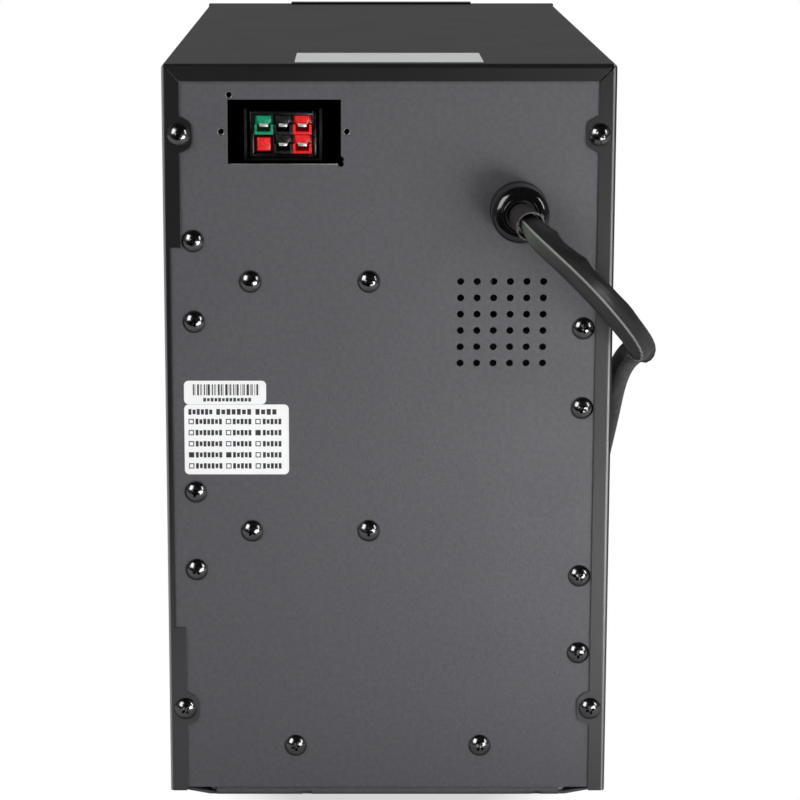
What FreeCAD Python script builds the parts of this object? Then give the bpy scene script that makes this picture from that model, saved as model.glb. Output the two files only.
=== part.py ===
import FreeCAD, Part
import math
import os

# Battery pack for a tower power supply: a folded steel case that holds two rows of sealed
# blocks, with a socket, a vent and a cable gland on its rear panel.
# Millimetres, +Z up. The rear panel faces -Y and the front bezel +Y. The origin is at the
# middle of the case's footprint, on the surface that it stands on.
# Width, height and depth of the case drive the pieces inside it.

Vector = FreeCAD.Vector

# Case
case_width = 190.0
case_height = 320.0
cover_depth = 400.0
cover_sheet = 1.0
cover_bend = 2.0
inner_sheet = 1.2
sheet_bend = 2.2
sliding_gap = 0.2
fit_gap = 0.1

# Base pan, with its notches measured from the left and the right side
pan_drop = 3.0
pan_slope_width = 16.0
pan_side_height = 23.0
pan_end_height = 32.0
pan_end_inset = 20.0
pan_left_notch = 59.5
pan_right_notch = 30.0
pan_notch_width = 4.0
pan_notch_height = 2.0

# Rear edge of the cover
flange_width = 7.2
narrow_flange = 2.6
narrow_inset = 77.0
mitre_gap = 0.5
corner_screw_inset = 7.0
corner_screw_rise = 40.5
corner_screw_drop = 29.5
tab_reach = 12.5
tab_root = 20.0
tab_tip = 10.0
tab_corner = 3.5

# Rear and front panels
panel_return = 12.0
panel_lift = 1.4
return_lift = 28.0
panel_screw_size = 4.0
screw_clearance = 0.3
screw_head_size = 9.2
screw_head_height = 2.7
screw_length = 4.5

# Tiers: the bay above them holds the socket, the fuse block and the gland
top_bay = 103.2
tier_room = 14.4
shelf_rise = 1.4
row_rise = 11.6
shelf_screw_insets = (36.5, 86.6)
rail_screw_inset = 12.5
rail_screw_share = 0.318
pan_screw_x = 40.2
pan_screw_height = 23.4

# Vent, measured from the right side
vent_count = 6
vent_pitch = 7.0
vent_hole = 3.0
vent_inset = 29.6

# Sealed blocks
block_count = 6
block_side_room = 19.5
block_gap = 0.3
block_corner = 2.0
row_start = 6.5
row_end = 5.0
lid_height = 9.0
lid_step = 0.7
terminal_inset = 7.5
terminal_offset = 20.0
terminal_width = 6.3
terminal_thickness = 0.8
terminal_height = 6.5
boot_width = 8.0
boot_length = 10.0
boot_height = 8.0
link_size = 4.5

# Trays, shelves and rails
tray_sheet = 1.0
tray_lip = 22.0
tray_fit = 1.3
shelf_lip = 13.0
shelf_flange_height = 18.0
rail_flange = 8.0
rail_ear = 15.0
lead_slot_width = 7.0
lead_slot_margin = 16.0

# Window of the rear socket, measured from the left side and the top
socket_inset = 51.2
socket_drop = 28.4
window_width = 47.4
window_height = 27.0
window_slot_width = 2.4
window_slot_rise = 2.0
plug_screw_spacing = 52.6
plug_screw_hole = 3.2
relief_rise = 1.8

# Poles, carrier and bracket of the rear socket
pole_size = 7.9
pole_pitch = 8.1
pole_length = 24.0
pole_setback = 6.0
pole_corner = 0.5
pole_wall = 1.0
pole_cavity = 9.0
pole_notch = 2.5
tongue_root = 5.7
tongue_tip = 3.9
tongue_drop = 3.0
contact_strip = 0.8
contact_width = 3.4
contact_lip = 1.4
contact_roll = 0.4
pole_shift = 0.7
pole_drop = 2.0
blank_inset = 1.4
blank_nose = 3.0
blank_length = 8.0
carrier_width = 27.9
carrier_height = 19.5
carrier_length = 20.0
carrier_setback = 1.0
carrier_corner = 1.0
bracket_inside = 30.4
bracket_height = 22.0
bracket_foot = 22.0

# Cable gland, measured from the right side and up from the upper shelf
gland_inset = 40.5
gland_rise = 39.5
gland_thread = 20.0
gland_thread_length = 10.0
gland_neck = 18.0
gland_neck_length = 5.0
gland_bore = 13.0
gland_flats = 22.0
gland_round = 24.4
gland_nut_size = 24.0
gland_flange = 5.0
gland_nut_length = 15.0
gland_dome = 5.5
gland_mouth = 1.2
grip_count = 12
grip_size = 3.2
grip_length = 7.5
lock_nut_length = 5.0
seal_setback = 1.5
seal_tail = 3.0

# Free cable. The run beside the case is given as distances out from its side, and as shares
# of its depth and of the gland's height
cable_size = 11.0
core_size = 4.8
floor_gap = 0.1
strap_sheet = 1.0
strap_width = 12.0
strap_corner = 1.5
strap_angles = (135, 315)
coil_turns = 2.25
coil_size = 120.0
coil_offset = 10.0
coil_setback = 89.0
coil_skin = 0.3
side_run = (
    (11.0, 0.065, 0.753),
    (10.5, 0.233, 0.664),
    (12.5, 0.393, 0.529),
    (11.5, 0.538, 0.367),
    (13.5, 0.688, 0.212),
    (12.5, 0.848, 0.093),
)

# Plug
plug_length = 34.0
plug_nose = 3.0
plug_corner = 2.0
plug_relief = 20.0

# Fuse block
fuse_block_left = 2.0
fuse_block_width = 44.0
fuse_block_height = 18.0
fuse_block_end = 10.0
fuse_length = 32.0
fuse_size = 9.0
fuse_barrel = 8.2
fuse_cap = 7.0
fuse_rise = 1.0
fuse_row_pitch = 14.0
stud_row_gap = 20.0
stud_size = 6.0
stud_height = 7.0
stud_nut_size = 10.2
stud_nut_height = 3.0

# Leads inside the case
lead_size = 4.5
lead_bend = 10.0
lead_entry = 11.0
lead_drop = 11.0
lead_turn = 15.0
pole_lead_step = 12.0
pole_lead_gap = 14.0
core_lead_step = 14.0

# Front bezel and its glossy band
bezel_depth = 20.0
bezel_round = 11.0
bezel_wall = 2.4
bezel_lift = 1.0
grip_front = 6.0
grip_back = 4.0
band_inset = 45.5
band_proud = 1.0
band_thickness = 2.0
snap_inset = 46.0
snap_room = 19.5
snap_width = 9.0
snap_thickness = 4.0
snap_reach = 5.0

# Labels
label_thickness = 0.2
label_corner = 2.0
rating_label_inset = 30.2
rating_label_size = (44.6, 30.5)
rating_label_gap = 3.1
barcode_label_size = (35.0, 10.2)
barcode_label_gap = 0.1
top_label_size = (79.0, 47.8)
top_label_setback = 7.3

# Places on the case that follow from the sizes
whole_depth = screw_head_height + cover_depth + bezel_depth + band_proud
back = screw_head_height - whole_depth / 2
front = back + cover_depth
side = case_width / 2
top = case_height
panel_outside = back + cover_sheet
panel_inside = panel_outside + inner_sheet
front_inside = front - inner_sheet
panel_side = side - cover_sheet - sliding_gap
rail_side = panel_side - sheet_bend
corner_screw_x = side - corner_screw_inset
corner_screw_heights = (corner_screw_rise, top - corner_screw_drop)
rail_screw_x = side - rail_screw_inset
screw_hole = panel_screw_size + screw_clearance

# Tiers, from the floor up
tier_pitch = (case_height - top_bay) / 2
row_heights = (tier_pitch + row_rise, 2 * tier_pitch + row_rise)
shelf_heights = (tier_pitch + shelf_rise, 2 * tier_pitch + shelf_rise)
tray_heights = (inner_sheet, shelf_heights[0] + inner_sheet)
rail_height = tier_pitch / 2
rail_drop = row_rise - shelf_rise + rail_height / 2
rail_screw_pitch = rail_screw_share * tier_pitch
block_width = case_width - 2 * block_side_room
block_height = tier_pitch - tier_room
row_length = cover_depth - row_start - row_end
block_length = (row_length - (block_count - 1) * block_gap) / block_count
first_block = back + row_start
terminal_reach = block_width / 2 - terminal_inset
tray_outside = block_width / 2 + tray_fit + tray_sheet
lead_column = (tray_outside + rail_side - rail_flange) / 2
bay_floor = shelf_heights[1] + inner_sheet
stud_x = fuse_block_left + fuse_block_width / 2

# Socket, vent and gland on the rear panel
socket_x = socket_inset - side
socket_height = top - socket_drop
pole_block_x = socket_x - pole_shift
pole_block_height = socket_height - pole_drop
pole_front = panel_inside + pole_setback
pole_rear = pole_front + pole_length
vent_left = side - vent_inset - (vent_count - 1) * vent_pitch
vent_top = row_heights[1]
gland_x = side - gland_inset
gland_height = bay_floor + gland_rise
nut_back = panel_outside - gland_flange
nut_front = nut_back - gland_nut_length

# Way of the free cable: out of the gland, round in one loop past the rear corner, back along
# the side and down to the floor, to a tied coil behind the case, and out of it to the plug
cable_level = cable_size / 2 + floor_gap
coil_level = cable_level + strap_sheet
coil_top = coil_level + coil_turns * cable_size
coil_x = side + coil_offset - coil_size / 2
coil_y = front + bezel_depth + coil_setback
plug_level = carrier_height / 2 + floor_gap
cable_route = [
    Vector(gland_x, panel_outside - 2.5, gland_height),
    Vector(gland_x, nut_front - 18, gland_height),
    Vector(side - 13, nut_front - 44, gland_height - 23),
    Vector(side + 11, nut_front - 22, gland_height - 53),
]
for out, depth_share, height_share in side_run:
    cable_route.append(
        Vector(side + out, back + depth_share * cover_depth, height_share * gland_height))
cable_route += [
    Vector(side + 14, coil_y - 104, 8),
    Vector(side + 11, coil_y - 48, coil_level - 0.2),
    Vector(coil_x + coil_size / 2, coil_y, coil_level),
]
tail_route = [
    Vector(coil_x, coil_y + 60, coil_top),
    Vector(coil_x - 31, coil_y + 60, coil_top - 1.9),
    Vector(coil_x - 59, coil_y + 57, 17),
    Vector(coil_x - 85, coil_y + 54, plug_level),
    Vector(coil_x - 111, coil_y + 54, plug_level),
]


def save(name, shape):
    shape.exportStep("parts/" + name + ".step")
    print("%-24s %3d solids %10.1f mm3" % (name, len(shape.Solids), shape.Volume))


def box(x0, x1, y0, y1, z0, z1):
    return Part.makeBox(x1 - x0, y1 - y0, z1 - z0, Vector(x0, y0, z0))


def rod_y(x, z, diameter, y0, y1):
    return Part.makeCylinder(diameter / 2, y1 - y0, Vector(x, y0, z), Vector(0, 1, 0))


def rod_x(x0, y, z, diameter, length):
    return Part.makeCylinder(diameter / 2, length, Vector(x0, y, z), Vector(1, 0, 0))


def group(shapes):
    return Part.makeCompound(shapes)


def mirrored(shape):
    return shape.mirror(Vector(0, 0, 0), Vector(1, 0, 0))


def edges_where(shape, test):
    return [edge for edge in shape.Edges if test(edge.BoundBox)]


def rounded_wire(points, radius, closed):
    """Straight runs through the points, with an arc of this radius at each corner."""
    count = len(points)
    corners = range(count) if closed else range(1, count - 1)
    starts = {}
    ends = {}
    arcs = {}
    for number in corners:
        corner = points[number]
        before = (points[number - 1] - corner).normalize()
        after = (points[(number + 1) % count] - corner).normalize()
        half = before.getAngle(after) / 2
        reach = radius / math.tan(half)
        middle = (before + after).normalize() * (radius / math.sin(half) - radius)
        starts[number] = corner + before * reach
        ends[number] = corner + after * reach
        arcs[number] = Part.Arc(starts[number], corner + middle, ends[number]).toShape()
    edges = []
    last = count if closed else count - 1
    for number in range(last):
        following = (number + 1) % count
        begin = ends.get(number, points[number])
        finish = starts.get(following, points[following])
        edges.append(Part.LineSegment(begin, finish).toShape())
        if following in arcs:
            edges.append(arcs[following])
    return Part.Wire(edges)


def plate(points, radius, depth):
    """A flat piece with this outline and rounded corners, drawn out along depth."""
    return Part.Face(rounded_wire(points, radius, True)).extrude(depth)


def folded(points, sheet, length):
    """Folded sheet: the outer line of its section, thickened inward and drawn out along Y."""
    wire = rounded_wire(points, sheet_bend, False)
    inner = wire.makeOffset2D(sheet, 0, True, True)
    return inner.extrude(Vector(0, length, 0))


def rounded_block(width, length, height, radius, centre_x, y0, z0):
    block = box(centre_x - width / 2, centre_x + width / 2, y0, y0 + length, z0, z0 + height)
    upright = edges_where(block, lambda b: b.ZLength > height / 2)
    return block.makeFillet(radius, upright)


def lead(points, diameter, bend=math.inf):
    """A round lead: straight runs joined by tangent arcs, up to this bend radius."""
    edges = []
    radii = []
    place = points[0]
    for before, corner, after in zip(points, points[1:], points[2:]):
        into = corner - before
        out = after - corner
        half_turn = into.getAngle(out) / 2
        radius = min(bend, 0.45 * min(into.Length, out.Length) / math.tan(half_turn))
        reach = radius * math.tan(half_turn)
        into.normalize()
        out.normalize()
        arc_start = corner - into * reach
        arc_end = corner + out * reach
        inward = (out - into).normalize()
        arc_middle = corner + inward * (radius / math.cos(half_turn) - radius)
        edges.append(Part.LineSegment(place, arc_start).toShape())
        edges.append(Part.Arc(arc_start, arc_middle, arc_end).toShape())
        radii.append(radius)
        place = arc_end
    edges.append(Part.LineSegment(place, points[-1]).toShape())
    path = Part.Wire(edges)
    heading = points[1] - points[0]
    section = Part.Wire([Part.makeCircle(diameter / 2, points[0], heading)])
    shape = path.makePipeShell([section], True, False)
    swept = math.pi * diameter ** 2 / 4 * path.Length
    return shape, radii, path.Length, shape.Volume / swept


# Wrap cover: one steel sheet folded down over the top and both sides, with narrow flanges
# turned in at its rear edge, mitred at the top corners and widened to tabs at the screws
def corner_screw_places():
    return [(end * corner_screw_x, z) for end in (-1, 1) for z in corner_screw_heights]


def flange_tab(end, z):
    root = end * (side - flange_width / 2)
    tip = end * (side - tab_reach)
    outline = [
        Vector(root, back - 1, z - tab_root / 2),
        Vector(tip, back - 1, z - tab_tip / 2),
        Vector(tip, back - 1, z + tab_tip / 2),
        Vector(root, back - 1, z + tab_root / 2),
    ]
    return plate(outline, tab_corner, Vector(0, flange_width, 0))


def make_wrap_cover():
    blank = box(-side, side, back, front, pan_drop, top)
    bends = edges_where(blank, lambda b: b.YLength > 1 and b.ZMin > top - 1)
    bends += edges_where(blank, lambda b: b.YMax < back + 1 and b.ZMax > top - 1)
    solid = blank.makeFillet(cover_bend, bends)
    open_faces = [
        face for face in solid.Faces
        if face.BoundBox.ZMax < pan_drop + 0.1 or face.BoundBox.YMin > front - 0.1
    ]
    cover = solid.makeThickness(open_faces, -cover_sheet, 0.001)
    inner_x = side - flange_width
    reach = back + flange_width - 1
    opening = box(-inner_x, inner_x, back - 1, reach, pan_drop - 1, top - flange_width)
    narrow = box(narrow_flange - side, 0, back - 1, reach, narrow_inset, top - narrow_inset)
    opening = opening.fuse(narrow)
    for end in (-1, 1):
        for z in corner_screw_heights:
            opening = opening.cut(flange_tab(end, z))
    cover = cover.cut(opening)
    for end in (-1, 1):
        corner = Vector(end * (side - cover_sheet), back - 1, top - cover_sheet)
        slit = Part.makeBox(2 * flange_width, cover_bend + 1, mitre_gap)
        slit.translate(Vector(0, 0, -mitre_gap / 2))
        slit.rotate(Vector(0, 0, 0), Vector(0, 1, 0), 135 if end > 0 else 45)
        slit.translate(corner)
        cover = cover.cut(slit)
    for x, z in corner_screw_places():
        cover = cover.cut(rod_y(x, z, screw_hole, back - 1, back + cover_sheet + 1))
    return cover


# Rear and front panels: flat sheets with their sides and top turned in, screwed to the tabs,
# the pan and the rails
def panel_blank(outer, inward):
    near, far = sorted((outer, outer + inward * panel_return))
    panel_top = top - cover_sheet - sliding_gap
    bottom = pan_drop + panel_lift
    blank = box(-panel_side, panel_side, near, far, bottom, panel_top)
    face_side = edges_where(blank, lambda b: max(abs(b.YMin - outer), abs(b.YMax - outer)) < 0.1)
    bends = [edge for edge in face_side if edge.BoundBox.ZMax > panel_top - 1]
    bends += edges_where(blank, lambda b: b.YLength > 1 and b.ZMin > panel_top - 1)
    solid = blank.makeFillet(sheet_bend, bends)
    far_y = outer + inward * panel_return
    open_faces = [
        face for face in solid.Faces
        if face.BoundBox.ZMax < bottom + 0.1
        or (face.BoundBox.YLength < 0.1 and abs(face.BoundBox.YMin - far_y) < 0.1)
    ]
    panel = solid.makeThickness(open_faces, -inner_sheet, 0.001)
    clear_near, clear_far = sorted((outer + inward * sheet_bend, far_y + inward))
    low_returns = box(-side, side, clear_near, clear_far, 0, return_lift)
    return panel.cut(low_returns)


def rail_screw_places():
    places = []
    for row in row_heights:
        for half in (-rail_screw_pitch / 2, rail_screw_pitch / 2):
            places.append((-rail_screw_x, row + half))
            places.append((rail_screw_x, row - rail_drop + half))
    return places


def panel_screw_places():
    places = rail_screw_places()
    places += [(inset - side, row) for row in row_heights for inset in shelf_screw_insets]
    places += [(-pan_screw_x, pan_screw_height), (pan_screw_x, pan_screw_height)]
    return places


def vent_places():
    for column in range(vent_count):
        for line in range(vent_count):
            yield vent_left + column * vent_pitch, vent_top - line * vent_pitch


def make_rear_panel():
    panel = panel_blank(panel_outside, 1)
    y0 = panel_outside - 1
    y1 = panel_inside + 1
    holes = [rod_y(x, z, vent_hole, y0, y1) for x, z in vent_places()]
    for x, z in panel_screw_places() + corner_screw_places():
        holes.append(rod_y(x, z, screw_hole, y0, y1))
    holes.append(rod_y(gland_x, gland_height, gland_thread + screw_clearance, y0, y1))
    left = socket_x - window_width / 2
    right = socket_x + window_width / 2
    bottom = socket_height - window_height / 2
    upper = socket_height + window_height / 2
    holes.append(box(left, right, y0, y1, bottom, upper))
    for end in (-1, 1):
        hole_x = socket_x + end * plug_screw_spacing / 2
        holes.append(rod_y(hole_x, socket_height, plug_screw_hole, y0, y1))
    relief_x = left + plug_screw_hole / 4
    holes.append(rod_y(relief_x, upper + relief_rise, plug_screw_hole, y0, y1))
    for z in (bottom, bottom + window_slot_rise):
        holes.append(rod_y(right, z, window_slot_width, y0, y1))
    return panel.cut(holes)


def snap_places():
    lowest_screw = min(z for x, z in rail_screw_places())
    heights = (lowest_screw - snap_room, top - snap_inset)
    return [(end * rail_screw_x, z) for end in (-1, 1) for z in heights]


def make_front_panel():
    panel = panel_blank(front, -1)
    y0 = front_inside - 1
    y1 = front + 1
    holes = [rod_y(x, z, screw_hole, y0, y1) for x, z in rail_screw_places()]
    for x, z in snap_places():
        half = snap_width / 2 + sliding_gap
        rise = snap_thickness / 2 + sliding_gap
        holes.append(box(x - half, x + half, y0, y1, z - rise, z + rise))
    return panel.cut(holes)


# Base pan: the floor hangs below the cover between two sloped margins, with its sides turned
# up inside the cover and its ends turned up behind the panels
def make_base_pan():
    bottom_half = panel_side - pan_slope_width
    section = [
        Vector(-panel_side, 0, pan_drop + pan_side_height),
        Vector(-panel_side, 0, pan_drop),
        Vector(-bottom_half, 0, 0),
        Vector(bottom_half, 0, 0),
        Vector(panel_side, 0, pan_drop),
        Vector(panel_side, 0, pan_drop + pan_side_height),
    ]
    length = front_inside - panel_inside - 2 * sheet_bend
    pan = folded(section, inner_sheet, length)
    pan.translate(Vector(0, panel_inside + sheet_bend, 0))
    floor_end = panel_inside + 2 * sheet_bend
    end_line = [
        Vector(0, floor_end, 0),
        Vector(0, panel_inside, 0),
        Vector(0, panel_inside, pan_end_height),
    ]
    wire = rounded_wire(end_line, sheet_bend, False)
    strip = wire.makeOffset2D(-inner_sheet, 0, True, True)
    if strip.BoundBox.YMin < panel_inside - 0.1:
        strip = wire.makeOffset2D(inner_sheet, 0, True, True)
    end_half = side - pan_end_inset
    rear_end = strip.extrude(Vector(2 * end_half, 0, 0))
    rear_end.translate(Vector(-end_half, 0, 0))
    middle = (panel_inside + front_inside) / 2
    front_end = rear_end.mirror(Vector(0, middle, 0), Vector(0, 1, 0))
    pan = pan.fuse([rear_end, front_end])
    cuts = []
    for x in (pan_left_notch - side, side - pan_right_notch):
        half = pan_notch_width / 2
        cuts.append(box(x - half, x + half, panel_inside - 1, panel_inside + sheet_bend, -1,
                        pan_notch_height))
    for x in (-pan_screw_x, pan_screw_x):
        cuts.append(rod_y(x, pan_screw_height, screw_hole, panel_inside - 1,
                          panel_inside + 2 * sheet_bend))
    return pan.cut(cuts).removeSplitter()


# Rails: channels that tie the two panels together on each side of a tier
def make_rail(end, centre):
    low = centre - rail_height / 2
    high = centre + rail_height / 2
    inner = rail_side - rail_flange
    section = [
        Vector(inner, 0, low),
        Vector(rail_side, 0, low),
        Vector(rail_side, 0, high),
        Vector(inner, 0, high),
    ]
    channel = folded(section, inner_sheet, front_inside - panel_inside)
    channel.translate(Vector(0, panel_inside, 0))
    ear_inner = rail_side - rail_ear
    rear_ear = box(ear_inner, rail_side - sheet_bend, panel_inside, panel_inside + inner_sheet,
                   low + sheet_bend, high - sheet_bend)
    front_ear = box(ear_inner, rail_side - sheet_bend, front_inside - inner_sheet, front_inside,
                    low + sheet_bend, high - sheet_bend)
    ears_to_web = box(rail_side - sheet_bend - 1, rail_side - inner_sheet / 2, panel_inside,
                      panel_inside + inner_sheet, low + sheet_bend, high - sheet_bend)
    front_to_web = ears_to_web.copy()
    front_to_web.translate(Vector(0, front_inside - inner_sheet - panel_inside, 0))
    rail = channel.fuse([rear_ear, front_ear, ears_to_web, front_to_web]).removeSplitter()
    for half in (-rail_screw_pitch / 2, rail_screw_pitch / 2):
        bore = rod_y(rail_screw_x, centre + half, screw_hole, panel_inside - 1, front_inside + 1)
        rail = rail.cut(bore)
    return mirrored(rail) if end < 0 else rail


# Shelves: each closes one tier, carries what stands above it and is screwed to the rear panel
def make_shelf(row, low):
    lip_x = rail_side - inner_sheet - sliding_gap
    section = [
        Vector(-lip_x, 0, low + shelf_lip),
        Vector(-lip_x, 0, low),
        Vector(lip_x, 0, low),
        Vector(lip_x, 0, low + shelf_lip),
    ]
    gap = 2 * inner_sheet
    start = panel_inside + gap
    stop = front_inside - gap
    shelf = folded(section, inner_sheet, stop - start)
    shelf.translate(Vector(0, start, 0))
    flange_left = -block_width / 2
    flange_right = shelf_screw_insets[1] - side + shelf_flange_height
    foot = box(flange_left, flange_right, panel_inside, start, low, low + inner_sheet)
    flange = box(flange_left, flange_right, panel_inside, panel_inside + inner_sheet,
                 low, low + shelf_flange_height)
    shelf = shelf.fuse([foot, flange]).removeSplitter()
    cuts = []
    for inset in shelf_screw_insets:
        cuts.append(rod_y(inset - side, row, screw_hole, panel_inside - 1,
                          panel_inside + 2 * inner_sheet))
    slot_x = lead_column - lead_slot_width / 2
    rows = block_rows()
    cuts.append(box(slot_x, slot_x + lead_slot_width, rows[0] - lead_slot_margin,
                    rows[3] + lead_slot_margin, low - 1, low + 2 * inner_sheet))
    return shelf.cut(cuts)


# Trays: each holds a row of six blocks and slides out with it
def make_tray(low):
    section = [
        Vector(-tray_outside, 0, low + tray_lip),
        Vector(-tray_outside, 0, low),
        Vector(tray_outside, 0, low),
        Vector(tray_outside, 0, low + tray_lip),
    ]
    tray = folded(section, tray_sheet, row_length)
    tray.translate(Vector(0, first_block, 0))
    far = first_block + row_length
    pull = box(-block_width / 4, block_width / 4, far, far + tray_sheet, low, low + tray_lip)
    return tray.fuse(pull).removeSplitter()


# Sealed blocks: a rounded case, its stepped lid, a vent strip and two tab terminals
def block_start(number):
    return first_block + number * (block_length + block_gap)


def terminal_y(number):
    toward = 1 if number % 2 == 0 else -1
    return block_start(number) + block_length / 2 + toward * terminal_offset


def make_block(number, low):
    y0 = block_start(number)
    shoulder = block_height - lid_height
    case = rounded_block(block_width, block_length, shoulder, block_corner, 0, y0, low)
    lid = rounded_block(block_width - 2 * lid_step, block_length - 2 * lid_step, lid_height,
                        block_corner, 0, y0 + lid_step, low + shoulder)
    strip_width = 2 * terminal_reach - 4 * boot_width
    strip_length = block_length / 3
    strip_y = y0 + (block_length - strip_length) / 2
    strip = box(-strip_width / 2, strip_width / 2, strip_y, strip_y + strip_length,
                low + block_height, low + block_height + lid_step)
    return case.fuse([lid, strip])


def tab(x, y, low, spread):
    half_x = terminal_thickness / 2 + spread
    half_y = terminal_width / 2 + spread
    return box(x - half_x, x + half_x, y - half_y, y + half_y, low, low + terminal_height + spread)


def make_terminals(low):
    tabs = []
    for number in range(block_count):
        for end in (-1, 1):
            tabs.append(tab(end * terminal_reach, terminal_y(number), low + block_height, 0))
    return tabs


# Link leads: an insulated boot over each tab, joined in series by short and long leads
def boot(x, y, low):
    shell = box(x - boot_width / 2, x + boot_width / 2, y - boot_length / 2, y + boot_length / 2,
                low, low + boot_height)
    upright = edges_where(shell, lambda b: b.ZLength > boot_height / 2)
    shell = shell.makeChamfer(boot_width / 5, upright)
    return shell.cut(tab(x, y, low - fit_gap, fit_gap))


def make_links(low):
    links = []
    top_face = low + block_height
    for number in range(block_count - 1):
        x = terminal_reach if number % 2 else -terminal_reach
        y0 = terminal_y(number)
        y1 = terminal_y(number + 1)
        wire = rod_y(x, top_face + boot_height / 2, link_size, y0 + boot_length / 2 - 1,
                     y1 - boot_length / 2 + 1)
        ends = [boot(x, y, top_face + lid_step) for y in (y0, y1)]
        links.append(ends[0].fuse([wire, ends[1]]))
    return group(links)


# Fuse block on the upper shelf: the leads of both tiers come in on its right and leave on its
# left, and the cores of the free cable come down to two studs on its top
def block_rows():
    red_y = terminal_y(0)
    return (red_y - 2 * fuse_row_pitch, red_y - fuse_row_pitch, red_y, red_y + stud_row_gap)


def make_fuse_block():
    rows = block_rows()
    y0 = rows[0] - fuse_block_end
    length = rows[3] + fuse_block_end - y0
    base = rounded_block(fuse_block_width, length, fuse_block_height, block_corner, stud_x, y0,
                         bay_floor)
    z = bay_floor + fuse_block_height + fuse_rise
    cradles = [
        rod_x(stud_x - fuse_length / 2 - fit_gap, y, z, fuse_size + 2 * fit_gap,
              fuse_length + 2 * fit_gap)
        for y in rows[1:3]
    ]
    return base.cut(cradles)


def make_fuses():
    z = bay_floor + fuse_block_height + fuse_rise
    left = stud_x - fuse_length / 2
    fuses = []
    for y in block_rows()[1:3]:
        barrel = rod_x(left, y, z, fuse_barrel, fuse_length)
        caps = [rod_x(x, y, z, fuse_size, fuse_cap) for x in (left, left + fuse_length - fuse_cap)]
        fuses.append(barrel.fuse(caps).removeSplitter())
    return group(fuses)


def make_studs():
    rows = block_rows()
    low = bay_floor + fuse_block_height
    studs = []
    for y in (rows[0], rows[3]):
        nut = Part.makeCylinder(stud_nut_size / 2, stud_nut_height, Vector(stud_x, y, low))
        stem = Part.makeCylinder(stud_size / 2, stud_height, Vector(stud_x, y, low))
        studs.append(nut.fuse(stem).removeSplitter())
    return group(studs)


# Leads inside the case
def tier_lead(tier, number, row, drop):
    """From the free tab of a block, out to the lead column, and up to the fuse block."""
    level = tray_heights[tier] + tray_sheet + block_height + boot_height / 2
    y = terminal_y(number)
    rise = bay_floor + lead_entry
    start = Vector(terminal_reach + boot_width / 2, y, level)
    goal = block_rows()[row]
    points = [start, Vector(lead_column, y, level)]
    if drop:
        points.append(Vector(lead_column, y, level - drop))
    if abs(goal - y) > 1:
        points.append(Vector(lead_column, goal, level - drop))
    points.append(Vector(lead_column, goal, rise))
    points.append(Vector(fuse_block_left + fuse_block_width, goal, rise))
    tube = lead(points, lead_size, lead_bend)[0]
    return tube.fuse(boot(terminal_reach, y, level - boot_height / 2 + lid_step))


def pole_place(column, line):
    x = pole_block_x + (column - 1) * pole_pitch
    return x, pole_block_height + (0.5 - line) * pole_pitch


def pole_lead(row, column, line, step):
    """From the left side of the fuse block up to the back of a pole."""
    x, z = pole_place(column, line)
    y = block_rows()[row]
    rise = bay_floor + lead_entry
    turn_x = fuse_block_left - pole_lead_gap - (1.5 * line + column - 1) * (lead_size - 0.5)
    bend_y = pole_rear + lead_turn + step * pole_lead_step
    points = [
        Vector(fuse_block_left, y, rise),
        Vector(turn_x, y, rise),
        Vector(x, bend_y, z),
        Vector(x, pole_rear, z),
    ]
    return lead(points, lead_size, lead_bend)[0]


def core_lead(end, row):
    """A core of the free cable, from the gland down to its stud."""
    x = gland_x + end * (core_size / 2 + fit_gap)
    stud_top = bay_floor + fuse_block_height + stud_height
    y = block_rows()[row]
    turn_y = panel_inside + lead_turn + (0 if end < 0 else core_lead_step)
    points = [
        Vector(x, cable_route[0].y, gland_height),
        Vector(x, turn_y, gland_height),
        Vector(stud_x, y, gland_height),
        Vector(stud_x, y, stud_top),
    ]
    return lead(points, core_size, lead_bend)[0]


# Rear socket: a bracket on the upper shelf holds a moulded carrier with five pole housings and
# a blank. Each housing is open at the front: a tongue narrows down to a sprung contact above
# a recess that takes the mating pole
def pole_housing():
    half = pole_size / 2
    inner = half - pole_wall
    body = box(-half, half, 0, pole_length, -half, half)
    rims = edges_where(body, lambda b: b.YLength > 1)
    body = body.makeFillet(pole_corner, rims)
    cavity = box(-inner, inner, -1, pole_cavity, -inner, inner)
    tongue_line = [
        Vector(-tongue_root / 2, 0, inner),
        Vector(tongue_root / 2, 0, inner),
        Vector(tongue_tip / 2, 0, inner - tongue_drop),
        Vector(-tongue_tip / 2, 0, inner - tongue_drop),
        Vector(-tongue_root / 2, 0, inner),
    ]
    tongue = Part.Face(Part.makePolygon(tongue_line)).extrude(Vector(0, pole_cavity, 0))
    notch = box(-inner, inner, -1, pole_notch, inner - 0.01, half + 1)
    return body.cut(cavity).fuse(tongue).cut(notch).removeSplitter()


def pole_contact():
    """A strip under the tongue with its front end rolled over the tongue's edge."""
    upper = pole_size / 2 - pole_wall - tongue_drop - fit_gap
    lower = upper - contact_strip
    near = -contact_strip - fit_gap
    lip = upper + fit_gap + contact_lip
    outline = [
        Vector(0, pole_cavity - fit_gap, upper),
        Vector(0, pole_cavity - fit_gap, lower),
        Vector(0, near, lower),
        Vector(0, near - contact_roll, lower + contact_strip / 2),
        Vector(0, near - contact_roll, lip),
        Vector(0, near + contact_strip, lip),
        Vector(0, near + contact_strip, upper),
        Vector(0, pole_cavity - fit_gap, upper),
    ]
    contact = Part.Face(Part.makePolygon(outline)).extrude(Vector(contact_width, 0, 0))
    contact.translate(Vector(-contact_width / 2, 0, 0))
    return contact


def placed_pole(shape, column, line):
    copy = shape.copy()
    x, z = pole_place(column, line)
    copy.translate(Vector(x, pole_front, z))
    return copy


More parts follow.
